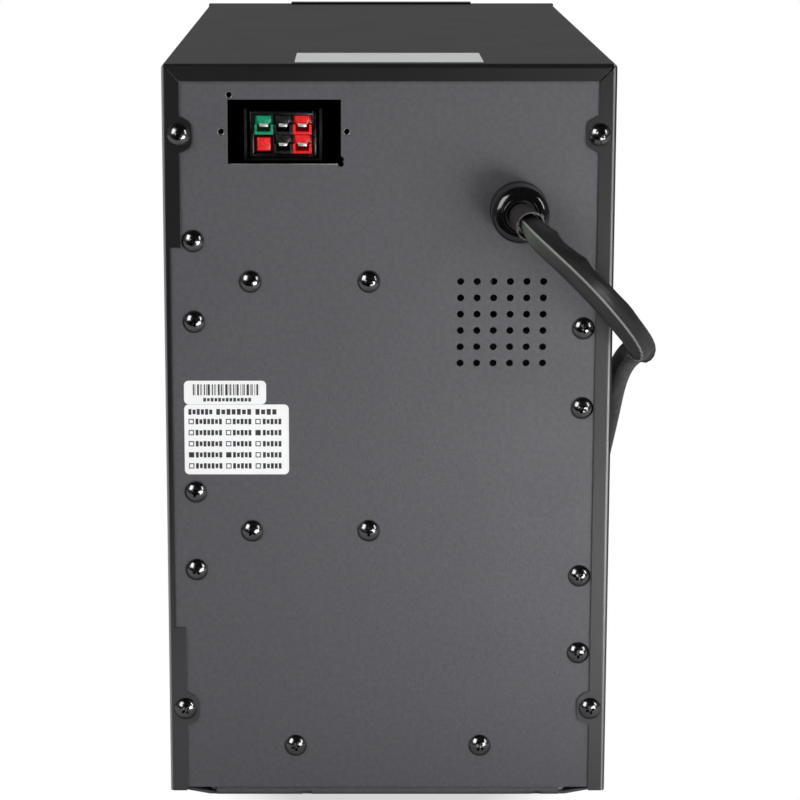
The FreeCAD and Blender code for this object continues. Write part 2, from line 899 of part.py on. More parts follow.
def make_carrier():
    near = pole_front + carrier_setback
    outer = box(pole_block_x - carrier_width / 2, pole_block_x + carrier_width / 2,
                near, near + carrier_length,
                pole_block_height - carrier_height / 2, pole_block_height + carrier_height / 2)
    rims = edges_where(outer, lambda b: b.YLength > 1)
    outer = outer.makeFillet(carrier_corner, rims)
    half = pole_size / 2 + fit_gap
    pockets = []
    for column in range(3):
        for line in range(2):
            x, z = pole_place(column, line)
            pockets.append(box(x - half, x + half, near - 1, near + carrier_length + 1,
                               z - half, z + half))
    return outer.cut(pockets).removeSplitter()


def make_blank_pole():
    x, z = pole_place(0, 1)
    half = pole_size / 2
    slim = half - blank_inset
    plug = box(x - slim, x + slim, pole_front, pole_front + blank_length, z - slim, z + slim)
    collar = box(x - half, x + half, pole_front + blank_nose, pole_rear, z - half, z + half)
    return plug.fuse(collar).removeSplitter()


def make_socket_bracket():
    low = bay_floor
    wing = bracket_inside / 2
    outer = wing + inner_sheet
    bottom = pole_block_height - bracket_height / 2
    upper = pole_block_height + bracket_height / 2
    carrier_back = pole_front + carrier_setback + carrier_length
    upright = box(-outer, outer, carrier_back, carrier_back + inner_sheet, low, upper)
    foot = box(-outer, outer, carrier_back, carrier_back + bracket_foot, low, low + inner_sheet)
    wings = [
        box(x, x + inner_sheet, pole_front, carrier_back + inner_sheet, bottom, upper)
        for x in (-outer, wing)
    ]
    ledge_top = pole_block_height - carrier_height / 2
    ledge = box(-wing, wing, pole_front + 2 * carrier_setback, carrier_back,
                ledge_top - inner_sheet, ledge_top)
    window = box(-carrier_width / 2 + 1, carrier_width / 2 - 1, carrier_back - 1,
                 carrier_back + 2 * inner_sheet, ledge_top + 1,
                 pole_block_height + carrier_height / 2 - 1)
    bracket = upright.fuse([foot, ledge] + wings).cut(window).removeSplitter()
    bracket.translate(Vector(pole_block_x, 0, 0))
    return bracket


# Cable gland: a threaded body through the panel, a lock nut behind it, a seal and a dome nut
def hexagon(flats, y0, y1):
    points = []
    for number in range(7):
        angle = math.radians(60 * number + 30)
        radius = flats / 2 / math.cos(math.radians(30))
        points.append(Vector(gland_x + radius * math.cos(angle), y0,
                             gland_height + radius * math.sin(angle)))
    return Part.Face(Part.makePolygon(points)).extrude(Vector(0, y1 - y0, 0))


def make_gland_body():
    flange = hexagon(gland_flats, nut_back, panel_outside)
    round_off = rod_y(gland_x, gland_height, gland_round, nut_back, panel_outside)
    flange = flange.common(round_off)
    thread_end = panel_inside + gland_thread_length
    neck_end = nut_back - gland_neck_length
    thread = rod_y(gland_x, gland_height, gland_thread, panel_outside, thread_end)
    neck = rod_y(gland_x, gland_height, gland_neck, neck_end, nut_back)
    bore = rod_y(gland_x, gland_height, gland_bore, neck_end - 1, thread_end + 1)
    return flange.fuse([thread, neck]).cut(bore).removeSplitter()


def make_lock_nut():
    nut = hexagon(gland_nut_size, panel_inside, panel_inside + lock_nut_length)
    hole = rod_y(gland_x, gland_height, gland_thread + 2 * fit_gap, panel_inside - 1,
                 panel_inside + lock_nut_length + 1)
    return nut.cut(hole)


def revolve_y(outline):
    """Turn an outline of (radius, y) pairs about the gland's axis."""
    points = [Vector(gland_x + radius, y, gland_height) for radius, y in outline]
    face = Part.Face(Part.makePolygon(points + points[:1]))
    return face.revolve(Vector(gland_x, 0, gland_height), Vector(0, 1, 0), 360)


def make_gland_nut():
    outer = gland_nut_size / 2
    mouth = cable_size / 2 + gland_mouth
    neck_end = nut_back - gland_neck_length - fit_gap
    wide = Part.makeCylinder(outer, gland_nut_length, Vector(gland_x, nut_front, gland_height),
                             Vector(0, 1, 0))
    rim = edges_where(wide, lambda b: b.YMax < nut_front + 0.1 and b.XLength > 1)
    wide = wide.makeFillet(gland_dome, rim)
    grips = []
    for number in range(grip_count):
        angle = 2 * math.pi * number / grip_count
        x = gland_x + (outer + grip_size * 0.3) * math.cos(angle)
        z = gland_height + (outer + grip_size * 0.3) * math.sin(angle)
        grips.append(rod_y(x, z, grip_size, nut_back - grip_length, nut_back + 1))
    inside = rod_y(gland_x, gland_height, gland_neck + 2 * fit_gap, neck_end, nut_back + 1)
    throat = rod_y(gland_x, gland_height, 2 * mouth, nut_front - 1, nut_back)
    seat_front = nut_front + 2 * seal_setback
    seat = revolve_y([(0, seat_front), (mouth, seat_front),
                      (gland_bore / 2 + gland_mouth, neck_end), (0, neck_end)])
    return wide.cut(grips + [inside, throat, seat])


def make_gland_seal():
    inner = cable_size / 2 + fit_gap
    mouth = cable_size / 2 + gland_mouth - fit_gap
    low = nut_front + seal_setback
    neck = nut_back - gland_neck_length - 4 * fit_gap
    tail = gland_bore / 2 - fit_gap
    return revolve_y([(inner, low), (mouth, low), (mouth, neck), (tail, neck),
                      (tail, neck + seal_tail), (inner, neck + seal_tail)])


# Coil: the turns of the free cable behind the case, drawn as one bundle and held by straps
def make_coil():
    inner = (coil_size - cable_size) / 2 - coil_skin
    outer = (coil_size + cable_size) / 2 + coil_skin
    low = strap_sheet + floor_gap
    high = coil_top + cable_size / 2 + coil_skin
    chamfer = cable_size / 4
    outline = [
        (inner + chamfer, low), (outer - chamfer, low), (outer, low + chamfer),
        (outer, high - chamfer), (outer - chamfer, high), (inner + chamfer, high),
        (inner, high - chamfer), (inner, low + chamfer),
    ]
    points = [Vector(coil_x + radius, coil_y, z) for radius, z in outline]
    face = Part.Face(Part.makePolygon(points + points[:1]))
    return face.revolve(Vector(coil_x, coil_y, 0), Vector(0, 0, 1), 360)


def outside_coil(shape):
    radius = (coil_size + cable_size) / 2 + coil_skin + fit_gap
    drum = Part.makeCylinder(radius, 2 * coil_top, Vector(coil_x, coil_y, 0))
    return shape.cut(drum)


def make_straps(coil):
    box_of_coil = coil.BoundBox
    straps = []
    for angle in strap_angles:
        inner = (coil_size - cable_size) / 2 - coil_skin - fit_gap
        outer = (coil_size + cable_size) / 2 + coil_skin + fit_gap
        low = box_of_coil.ZMin - fit_gap
        high = box_of_coil.ZMax + fit_gap
        band = box(inner - strap_sheet, outer + strap_sheet, -strap_width / 2, strap_width / 2,
                   low - strap_sheet + fit_gap, high + strap_sheet)
        rims = edges_where(band, lambda b: b.YLength > 1)
        band = band.makeFillet(strap_corner + strap_sheet, rims)
        hollow = box(inner, outer, -strap_width, strap_width, low, high)
        inner_rims = edges_where(hollow, lambda b: b.YLength > 1)
        hollow = hollow.makeFillet(strap_corner, inner_rims)
        strap = band.cut(hollow)
        strap.rotate(Vector(0, 0, 0), Vector(0, 0, 1), angle)
        strap.translate(Vector(coil_x, coil_y, 0))
        straps.append(strap.cut(coil))
    return group(straps)


# Plug at the far end: a moulded shell with the same poles as the socket
def plug_frame(shape):
    """Turn a piece that faces -Y so that it faces -X, and lay it at the end of the cable."""
    copy = shape.copy()
    copy.rotate(Vector(0, 0, 0), Vector(0, 0, 1), -90)
    end = tail_route[-1]
    copy.translate(Vector(end.x - plug_length - plug_relief, end.y, end.z))
    return copy


def make_plug_poles():
    housing = pole_housing()
    poles = []
    for column, line in ((-1, 0), (0, 0), (0, 1), (1, 0), (1, 1)):
        pole = housing.copy()
        pole.translate(Vector(column * pole_pitch, 0, (0.5 - line) * pole_pitch))
        poles.append(plug_frame(pole))
    return group(poles)


def make_plug_shell():
    body = box(-carrier_width / 2, carrier_width / 2, plug_nose, plug_length,
               -carrier_height / 2, carrier_height / 2)
    rims = edges_where(body, lambda b: b.YLength > 1)
    body = body.makeFillet(plug_corner, rims)
    shoulder = rounded_taper(plug_length, plug_length + plug_relief)
    half = pole_size / 2 + fit_gap
    pockets = []
    for column in (-1, 0, 1):
        for line in (0, 1):
            x = column * pole_pitch
            z = (0.5 - line) * pole_pitch
            pockets.append(box(x - half, x + half, 0, pole_length + fit_gap, z - half, z + half))
    return plug_frame(body.fuse(shoulder).cut(pockets).removeSplitter())


def rounded_taper(y0, y1):
    """The strain relief: from the shell's oval end down to the cable."""
    wide = Part.Wire([Part.makeCircle(carrier_height / 2 - 1, Vector(0, y0 - 1, 0),
                                      Vector(0, 1, 0))])
    slim = Part.Wire([Part.makeCircle(cable_size / 2 + 0.8, Vector(0, y1, 0), Vector(0, 1, 0))])
    return Part.makeLoft([wide, slim], True)


# Front bezel: a moulded shell with rounded front edges that snaps into the front panel, and a
# glossy band that runs over its top and down its middle
def bezel_body(grow):
    low = bezel_lift - grow * 0.5
    body = box(-side - grow, side + grow, front, front + bezel_depth + grow, low, top + grow)
    on_front = edges_where(body, lambda b: b.YMin > front + bezel_depth / 2)
    return body.makeFillet(bezel_round + grow, on_front)


def make_band():
    outer = bezel_body(band_proud)
    inner = bezel_body(band_proud - band_thickness)
    half = side - band_inset
    slab = box(-half, half, front + 1, front + bezel_depth * 2, -1, top * 2)
    return outer.common(slab).cut(inner)


def make_bezel(band):
    body = bezel_body(0)
    rear_face = [face for face in body.Faces if face.BoundBox.YMax < front + 0.1]
    shell = body.makeThickness(rear_face, -bezel_wall, 0.001)
    grip = box(-side / 3, side / 3, front + grip_back, front + bezel_depth - grip_front, 0,
               bezel_wall * 2)
    shell = shell.cut([grip, band])
    snaps = []
    for x, z in snap_places():
        snaps.append(box(x - snap_width / 2, x + snap_width / 2, front_inside - snap_reach,
                         front + bezel_depth - bezel_wall / 2,
                         z - snap_thickness / 2, z + snap_thickness / 2))
    return shell.fuse(snaps).removeSplitter()


# Screws: low domed heads on short shanks
def screw(x, z, seat, outward):
    head = screw_head_size / 2
    shank = panel_screw_size / 2
    outline = [
        (0, -screw_length), (shank, -screw_length), (shank, 0), (head, 0),
        (head, screw_head_height * 0.35), (head * 0.85, screw_head_height * 0.7),
        (head * 0.5, screw_head_height * 0.93), (0, screw_head_height), (0, -screw_length),
    ]
    line = Part.makePolygon([Vector(radius, 0, rise) for radius, rise in outline])
    whole = Part.Face(line).revolve(Vector(0, 0, 0), Vector(0, 0, 1), 360)
    whole.rotate(Vector(0, 0, 0), Vector(1, 0, 0), 90 if outward < 0 else -90)
    whole.translate(Vector(x, seat, z))
    return whole


# Labels
def flat_label(centre, size, outer):
    half_x = size[0] / 2
    half_z = size[1] / 2
    y = outer - label_thickness
    outline = [
        Vector(centre[0] - half_x, y, centre[1] - half_z),
        Vector(centre[0] + half_x, y, centre[1] - half_z),
        Vector(centre[0] + half_x, y, centre[1] + half_z),
        Vector(centre[0] - half_x, y, centre[1] + half_z),
    ]
    return plate(outline, label_corner, Vector(0, label_thickness, 0))


def rating_label_corner():
    """Lower left corner, just above the screws that end the lower rail."""
    screws_end = row_heights[0] + rail_screw_pitch / 2 + screw_head_size / 2
    return rating_label_inset - side - rating_label_size[0] / 2, screws_end + rating_label_gap


def make_rating_label():
    left, low = rating_label_corner()
    centre = (left + rating_label_size[0] / 2, low + rating_label_size[1] / 2)
    return flat_label(centre, rating_label_size, panel_outside)


def make_barcode_label():
    left, low = rating_label_corner()
    low += rating_label_size[1] + barcode_label_gap
    centre = (left + barcode_label_size[0] / 2, low + barcode_label_size[1] / 2)
    return flat_label(centre, barcode_label_size, panel_outside)


def make_top_label():
    half = top_label_size[0] / 2
    near = back + top_label_setback
    return box(-half, half, near, near + top_label_size[1], top, top + label_thickness)


def build():
    os.makedirs("parts", exist_ok=True)
    save("wrap_cover", make_wrap_cover())
    save("rear_panel", make_rear_panel())
    save("front_panel", make_front_panel())
    save("base_pan", make_base_pan())
    band = make_band()
    save("bezel_band", band)
    save("front_bezel", make_bezel(band))
    tabs = []
    for tier, name in enumerate(("lower", "upper")):
        row = row_heights[tier]
        save(name + "_left_rail", make_rail(-1, row))
        save(name + "_right_rail", make_rail(1, row - rail_drop))
        save(name + "_shelf", make_shelf(row, shelf_heights[tier]))
        save(name + "_battery_tray", make_tray(tray_heights[tier]))
        low = tray_heights[tier] + tray_sheet
        for number in range(block_count):
            save("%s_battery_%d" % (name, number + 1), make_block(number, low))
        tabs += make_terminals(low)
        save(name + "_link_leads", make_links(low))
    save("battery_terminals", group(tabs))
    save("fuse_block", make_fuse_block())
    save("fuses", make_fuses())
    save("fuse_block_studs", make_studs())
    last = block_count - 1
    reds = [tier_lead(0, 0, 1, 0), tier_lead(1, 0, 2, 0), pole_lead(1, 2, 1, 1),
            pole_lead(2, 2, 0, 2), core_lead(-1, 0)]
    blacks = [tier_lead(0, last, 0, lead_drop), tier_lead(1, last, 3, lead_drop),
              pole_lead(0, 1, 1, 0), pole_lead(3, 1, 0, 3), core_lead(1, 3)]
    save("red_leads", group(reds))
    save("black_leads", group(blacks))
    save("socket_bracket", make_socket_bracket())
    save("socket_carrier", make_carrier())
    housing = pole_housing()
    contact = pole_contact()
    poles = {
        "socket_pole_green": (0, 0),
        "socket_pole_black_upper": (1, 0),
        "socket_pole_red_upper": (2, 0),
        "socket_pole_black_lower": (1, 1),
        "socket_pole_red_lower": (2, 1),
    }
    for name, place in poles.items():
        save(name, placed_pole(housing, *place))
    save("socket_contacts", group([placed_pole(contact, *place) for place in poles.values()]))
    save("socket_blank", make_blank_pole())
    save("gland_body", make_gland_body())
    save("gland_lock_nut", make_lock_nut())
    save("gland_nut", make_gland_nut())
    save("gland_seal", make_gland_seal())
    coil = make_coil()
    cable, radii, length, ratio = lead(cable_route, cable_size)
    print("cable radii", [round(radius, 1) for radius in radii], "length", round(length, 1),
          "volume ratio", round(ratio, 4))
    save("battery_cable", outside_coil(cable))
    tail, radii, length, ratio = lead(tail_route, cable_size)
    print("tail radii", [round(radius, 1) for radius in radii], "length", round(length, 1),
          "volume ratio", round(ratio, 4))
    save("cable_tail", outside_coil(tail))
    save("cable_coil", coil)
    save("cable_straps", make_straps(coil))
    save("plug_shell", make_plug_shell())
    save("plug_poles", make_plug_poles())
    corner = [screw(x, z, back, -1) for x, z in corner_screw_places()]
    save("corner_screws", group(corner))
    rear = [screw(x, z, panel_outside, -1) for x, z in panel_screw_places()]
    save("panel_screws", group(rear))
    ahead = [screw(x, z, front, 1) for x, z in rail_screw_places()]
    save("front_screws", group(ahead))
    save("rating_label", make_rating_label())
    save("barcode_label", make_barcode_label())
    save("top_label", make_top_label())


build()
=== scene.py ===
import math

import bmesh
import bpy
from mathutils import Matrix, Vector


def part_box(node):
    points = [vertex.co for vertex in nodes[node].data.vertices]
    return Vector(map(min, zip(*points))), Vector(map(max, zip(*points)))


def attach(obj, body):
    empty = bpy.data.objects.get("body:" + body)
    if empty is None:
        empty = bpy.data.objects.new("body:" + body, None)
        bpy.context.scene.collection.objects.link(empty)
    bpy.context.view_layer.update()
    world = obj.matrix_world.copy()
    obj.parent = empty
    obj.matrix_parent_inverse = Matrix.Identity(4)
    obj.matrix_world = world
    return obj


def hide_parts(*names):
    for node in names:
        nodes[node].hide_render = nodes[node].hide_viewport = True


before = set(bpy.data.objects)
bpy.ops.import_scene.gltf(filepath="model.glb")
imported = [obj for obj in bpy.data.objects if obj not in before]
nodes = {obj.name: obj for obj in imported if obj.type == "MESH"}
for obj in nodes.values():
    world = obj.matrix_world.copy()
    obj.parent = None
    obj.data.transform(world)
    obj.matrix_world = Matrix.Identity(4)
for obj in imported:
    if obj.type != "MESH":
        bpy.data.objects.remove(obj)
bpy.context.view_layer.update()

scene = bpy.context.scene

# Camera: it looks at the rear panel from a little above through a long lens. The view is
# shifted, because the case stands off the middle of the lens.
camera = bpy.data.objects.new("camera", bpy.data.cameras.new("camera"))
camera.data.sensor_width = 36
camera.data.lens = 128.73
camera.data.shift_x = 0.0549
camera.data.shift_y = 0.0408
camera.location = (-0.0138, -1.4032, 0.4176)
camera.rotation_euler = (math.radians(77.98), 0, 0)
scene.collection.objects.link(camera)
scene.camera = camera
scene.view_settings.view_transform = "Standard"


# Studio: a white backdrop behind the case and a dark room in front of it. The black finishes
# mirror the room, its lamps and a white card to the right of the camera. The lamps are two tall
# soft ones on the left and right, one overhead and a small one low on the right.
def feed(tree, value, socket):
    """Links another node's output to this socket, or sets it to a plain value."""
    if isinstance(value, bpy.types.NodeSocket):
        tree.links.new(value, socket)
    else:
        socket.default_value = value


def cleared_nodes(owner):
    owner.use_nodes = True
    owner.node_tree.nodes.clear()
    return owner.node_tree


def axes_of(tree, coordinates):
    """The X, Y and Z of a texture coordinate."""
    place = tree.nodes.new("ShaderNodeTexCoord")
    axes = tree.nodes.new("ShaderNodeSeparateXYZ")
    feed(tree, place.outputs[coordinates], axes.inputs[0])
    return axes.outputs


def maths(tree, operation, *values):
    node = tree.nodes.new("ShaderNodeMath")
    node.operation = operation
    for value, socket in zip(values, node.inputs):
        feed(tree, value, socket)
    return node.outputs[0]


def remapped(tree, value, start, end, low=0.0, high=1.0):
    """Goes from low to high while the value goes from start to end, and stays there."""
    node = tree.nodes.new("ShaderNodeMapRange")
    for name, setting in (("Value", value), ("From Min", start), ("From Max", end),
                          ("To Min", low), ("To Max", high)):
        feed(tree, setting, node.inputs[name])
    return node.outputs["Result"]


def mixed_shaders(tree, share, first, second):
    node = tree.nodes.new("ShaderNodeMixShader")
    for value, socket in zip((share, first, second), node.inputs):
        feed(tree, value, socket)
    return node.outputs[0]


def glow(tree, colour, strength=1.0):
    node = tree.nodes.new("ShaderNodeBackground")
    node.inputs["Color"].default_value = (*colour, 1)
    feed(tree, strength, node.inputs["Strength"])
    return node.outputs[0]


dark_front = 0.01
side_walls = 0.12
side_wall_fade = (0.75, 0.9)
back_wall = 0.2
back_wall_fade = (0.3, 0.7)
room_colour = (0.97, 0.98, 1.0)
room_light = 0.5

world = bpy.data.worlds.new("studio")
scene.world = world
tree = cleared_nodes(world)
axes = axes_of(tree, "Generated")
sideways = maths(tree, "ABSOLUTE", axes["X"])
walls = remapped(tree, sideways, *side_wall_fade, dark_front, side_walls)
mirrored_light = remapped(tree, axes["Y"], *back_wall_fade, walls, back_wall)
mirrored_room = glow(tree, (1, 1, 1), mirrored_light)
path = tree.nodes.new("ShaderNodeLightPath")
lit_room = mixed_shaders(tree, path.outputs["Is Glossy Ray"], glow(tree, room_colour, room_light),
                         mirrored_room)
straight = maths(tree, "MAXIMUM", path.outputs["Is Camera Ray"],
                 path.outputs["Is Transmission Ray"])
out = tree.nodes.new("ShaderNodeOutputWorld")
feed(tree, mixed_shaders(tree, straight, lit_room, glow(tree, (1, 1, 1))), out.inputs["Surface"])


def soft_lamp(name, place, target, width, height, watts, mirrored=True, lights=True):
    """A rectangle of light that faces its target. A card is only mirrored, and lights nothing."""
    lamp = bpy.data.lights.new(name, "AREA")
    lamp.shape = "RECTANGLE"
    lamp.size = width
    lamp.size_y = height
    lamp.energy = watts
    holder = bpy.data.objects.new(name, lamp)
    holder.location = place
    holder.rotation_euler = (Vector(target) - Vector(place)).to_track_quat("-Z", "Y").to_euler()
    holder.visible_glossy = mirrored
    holder.visible_diffuse = lights
    scene.collection.objects.link(holder)


soft_lamp("left_softbox", (-1.4, -1.45, 1.15), (0, -0.2, 0.2), 1.0, 1.3, 20.5)
soft_lamp("right_softbox", (1.6, -1.1, 0.9), (0, -0.2, 0.14), 0.25, 0.9, 5.5)
soft_lamp("overhead_softbox", (0.1, 0.3, 2.1), (0, 0, 0.3), 1.2, 1.2, 18, mirrored=False)
soft_lamp("right_card", (0.36, -0.9, -0.08), (0.09, -0.2, 0.1), 0.3, 0.4, 3.1, lights=False)
soft_lamp("low_right_lamp", (0.36, -0.6, 0.07), (0.09, -0.2, 0.15), 0.2, 0.2, 1.3)


# Floor: a sheet of white paper that ends a short way in front of the case. The camera sees it
# as white as the backdrop, but for the oval shadow under the case.
floor_half = 4
floor_front = 0.45
shadow_narrowing = (1.15, 0.42, 0)
shadow_inner = 0.1
shadow_outer = 0.122
shadow_light = 0.58
paper_grey = (0.35, 0.35, 0.35)

bm = bmesh.new()
bmesh.ops.create_grid(bm, x_segments=1, y_segments=1, size=1)
bmesh.ops.scale(bm, vec=(floor_half, floor_half, 1), verts=bm.verts)
bmesh.ops.translate(bm, vec=(0, floor_half - floor_front, 0), verts=bm.verts)
mesh = bpy.data.meshes.new("floor")
bm.to_mesh(mesh)
bm.free()
floor = bpy.data.objects.new("floor", mesh)
scene.collection.objects.link(floor)

paper = bpy.data.materials.new("floor_paper")
tree = cleared_nodes(paper)
place = tree.nodes.new("ShaderNodeTexCoord")
narrowed = tree.nodes.new("ShaderNodeVectorMath")
narrowed.operation = "MULTIPLY"
narrowed.inputs[1].default_value = shadow_narrowing
feed(tree, place.outputs["Object"], narrowed.inputs[0])
reach = tree.nodes.new("ShaderNodeVectorMath")
reach.operation = "LENGTH"
feed(tree, narrowed.outputs["Vector"], reach.inputs[0])
away = remapped(tree, reach.outputs["Value"], shadow_inner, shadow_outer, shadow_light)
path = tree.nodes.new("ShaderNodeLightPath")
lit = maths(tree, "MULTIPLY", path.outputs["Is Camera Ray"], away)
dull = tree.nodes.new("ShaderNodeBsdfDiffuse")
dull.inputs["Color"].default_value = (*paper_grey, 1)
white = tree.nodes.new("ShaderNodeEmission")
out = tree.nodes.new("ShaderNodeOutputMaterial")
feed(tree, mixed_shaders(tree, lit, dull.outputs[0], white.outputs[0]), out.inputs["Surface"])
mesh.materials.append(paper)


# Free cable: a short rubber jacket comes out of the gland and ends in a square cut. The flattened
# sleeve inside it goes on, creased along its length and lumpy where its cores cross. It drops
# behind the case, where it lies in a tied coil.
gland_x = 0.0545
gland_height = 0.2589
cable_route = [
    (gland_x, -0.2107, gland_height),
    (gland_x, -0.2462, gland_height),
    (0.0820, -0.2722, 0.2359),
    (0.1060, -0.2501, 0.2059),
    (0.1060, -0.1832, 0.1950),
    (0.1055, -0.1159, 0.1719),
    (0.1075, -0.0519, 0.1370),
    (0.1065, 0.0061, 0.0950),
    (0.1085, 0.0660, 0.0549),
    (0.1075, 0.1300, 0.0241),
    (0.1090, 0.1959, 0.0080),
    (0.1060, 0.2519, 0.0064),
    (0.1050, 0.2999, 0.0066),
]
tail_route = [
    (0.0140, 0.3599, 0.0295),
    (-0.0140, 0.3569, 0.0170),
    (-0.0400, 0.3538, 0.0098),
    (-0.0660, 0.3538, 0.0098),
]
cable_width = 0.011
coil_centre = (0.045, 0.2999)
coil_radius = 0.062
coil_turns = 2.25
turn_points = 12
coil_level = 0.0066
climb_start = 0.72
climb_end = 0.88


def smooth_share(value, low, high):
    """Goes smoothly from 0 to 1 while the value goes from low to high."""
    share = min(max((value - low) / (high - low), 0), 1)
    return share * share * (3 - 2 * share)


def coil_height(turns):
    """Each turn lies on the one below, and climbs on to it just before it is closed."""
    climbed = smooth_share(turns % 1, climb_start, climb_end)
    return coil_level + cable_width * (math.floor(turns) + climbed)


coil_route = []
for number in range(1, int(coil_turns * turn_points) + 1):
    turns = number / turn_points
    angle = 2 * math.pi * turns
    coil_route.append((coil_centre[0] + coil_radius * math.cos(angle),
                       coil_centre[1] + coil_radius * math.sin(angle), coil_height(turns)))

curve = bpy.data.curves.new("cable_line", "CURVE")
curve.dimensions = "3D"
curve.resolution_u = 10
spline = curve.splines.new("NURBS")
route = cable_route + coil_route + tail_route
spline.points.add(len(route) - 1)
for point, place in zip(spline.points, route):
    point.co = (*place, 1)
spline.order_u = 3
spline.use_endpoint_u = True
line = bpy.data.objects.new("cable_line", curve)
scene.collection.objects.link(line)
scene.view_layers[0].update()
cable_points = [v.co.copy() for v in bpy.data.meshes.new_from_object(line).vertices]
bpy.data.objects.remove(line)

distances = [0.0]
for before, after in zip(cable_points, cable_points[1:]):
    distances.append(distances[-1] + (after - before).length)
cable_length = distances[-1]


def along(distance):
    """The place on the cable's line at this distance from its start, and the way it runs."""
    number = 1
    while number < len(distances) - 1 and distances[number] < distance:
        number += 1
    run = cable_points[number] - cable_points[number - 1]
    share = (distance - distances[number - 1]) / run.length
    return cable_points[number - 1] + run * share, run.normalized()


def hump(value, middle, width):
    """A smooth rise to 1 at the middle."""
    return math.exp(-((value - middle) / width) ** 2)


jacket_radius = 0.0058
jacket_flare = 0.0004
flare_start = 0.019
jacket_end = 0.0295
jacket_wall = 0.0006
jacket_rings = 10
inside_rings = 4

sleeve_root = 0.0240
root_end = 0.042
root_share = 0.72
root_growth = 0.28
fade_start = 0.16
crease_end = 0.30
crease_side = Vector((-0.18, -0.97, 0.09))
crease_reach = 0.0052
side_reach = 0.0057
back_reach = 0.0049
round_reach = 0.0053
flatness = 0.72
ridge_height = 0.0003
ridge_sharpness = 90
fine_step = 0.0012
coarse_step = 0.004
shortest_step = 0.001

# Each lump's distance along the cable, angle round it, height, and length.
lumps = (
    (0.0450, 4.5, 0.0006, 0.0018),
    (0.0525, 4.6, -0.0006, 0.0040),
    (0.0632, 4.5, 0.0008, 0.0022),
    (0.0700, 4.6, -0.0004, 0.0040),
    (0.0900, 4.4, 0.0004, 0.0060),
    (0.1180, 1.6, 0.0004, 0.0080),
)
lump_spread = 0.9

on_jacket, on_sleeve, on_cut_edge = range(3)


def jacket_shape(angle, distance):
    return jacket_radius + jacket_flare * smooth_share(distance, flare_start, jacket_end)


def jacket_inside(angle, distance):
    return jacket_shape(angle, distance) - jacket_wall


def sleeve_shape(angle, distance):
    """Round far from the gland. Near it, two flat faces meet in a crease at angle 0."""
    creased = 1 - smooth_share(distance, fade_start, crease_end)
    front = math.cos(angle) > 0
    power = 2 - flatness * creased if front else 2
    reach = crease_reach if front else back_reach
    along_reach = round_reach + (reach - round_reach) * creased
    across_reach = round_reach + (side_reach - round_reach) * creased
    radius = (abs(math.cos(angle) / along_reach) ** power
              + abs(math.sin(angle) / across_reach) ** power) ** (-1 / power)
    radius += ridge_height * creased * max(math.cos(angle), 0) ** ridge_sharpness
    for middle, facing, height, length in lumps:
        radius += height * hump(distance, middle, length) * hump(angle, facing, lump_spread)
    return radius * (root_share + root_growth * smooth_share(distance, sleeve_root, root_end))


def tube_stations():
    """Distance, shape and material of each ring: out over the jacket, back inside it to the
    sleeve's root, and out again along the sleeve."""
    stations = [(ring * jacket_end / jacket_rings, jacket_shape, on_jacket)
                for ring in range(jacket_rings + 1)]
    stations += [(jacket_end - ring * (jacket_end - sleeve_root) / inside_rings, jacket_inside,
                  on_sleeve if ring else on_cut_edge) for ring in range(inside_rings + 1)]
    distance = sleeve_root
    while distance < cable_length - shortest_step:
        stations.append((distance, sleeve_shape, on_sleeve))
        distance += fine_step if distance < crease_end else coarse_step
    stations.append((cable_length, sleeve_shape, on_sleeve))
    return stations


def tube(stations, around):
    """A grid rolled up along the cable's line. Its UV map has X once round the cable and Y in
    metres along it."""
    bm = bmesh.new()
    uv = bm.loops.layers.uv.new("along")
    bmesh.ops.create_grid(bm, x_segments=around, y_segments=len(stations) - 1, size=0.5)

    def row_of(v):
        return round((v.co.y + 0.5) * (len(stations) - 1))

    for face in bm.faces:
        face.material_index = stations[max(row_of(v) for v in face.verts)][2]
        for loop in face.loops:
            loop[uv].uv = (loop.vert.co.x + 0.5, stations[row_of(loop.vert)][0])
    rings = []
    for distance, shape, material in stations:
        centre, run = along(distance)
        out_of = (crease_side - run * run.dot(crease_side)).normalized()
        rings.append((centre, out_of, run.cross(out_of)))
    for v in bm.verts:
        angle = 2 * math.pi * (v.co.x + 0.5)
        distance, shape, material = stations[row_of(v)]
        centre, out_of, across = rings[row_of(v)]
        outward = out_of * math.cos(angle) + across * math.sin(angle)
        v.co = centre + outward * shape(angle, distance)
    bmesh.ops.remove_doubles(bm, verts=bm.verts, dist=1e-6)
    bmesh.ops.holes_fill(bm, edges=bm.edges, sides=0)
    bmesh.ops.recalc_face_normals(bm, faces=bm.faces)
    return bm


def add_piece(name, bm, *materials, sharp=40):
    """A finished mesh as an object that rides on the case. Edges over this angle stay sharp."""
    for edge in bm.edges:
        edge.smooth = edge.calc_face_angle(0) < math.radians(sharp)
    for face in bm.faces:
        face.smooth = True
    mesh = bpy.data.meshes.new(name)
    bm.to_mesh(mesh)
    bm.free()
    for material in materials:
        mesh.materials.append(material)
    piece = bpy.data.objects.new(name, mesh)
    scene.collection.objects.link(piece)
    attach(piece, "root")
    return piece


def finish(name, colour, roughness, metal=0.0):
    """A material with its constants set on the shader."""
    material = bpy.data.materials.new(name)
    material.use_nodes = True
    shader = material.node_tree.nodes["Principled BSDF"]
    shader.inputs["Base Color"].default_value = (*colour, 1)
    shader.inputs["Roughness"].default_value = roughness
    shader.inputs["Metallic"].default_value = metal
    return material


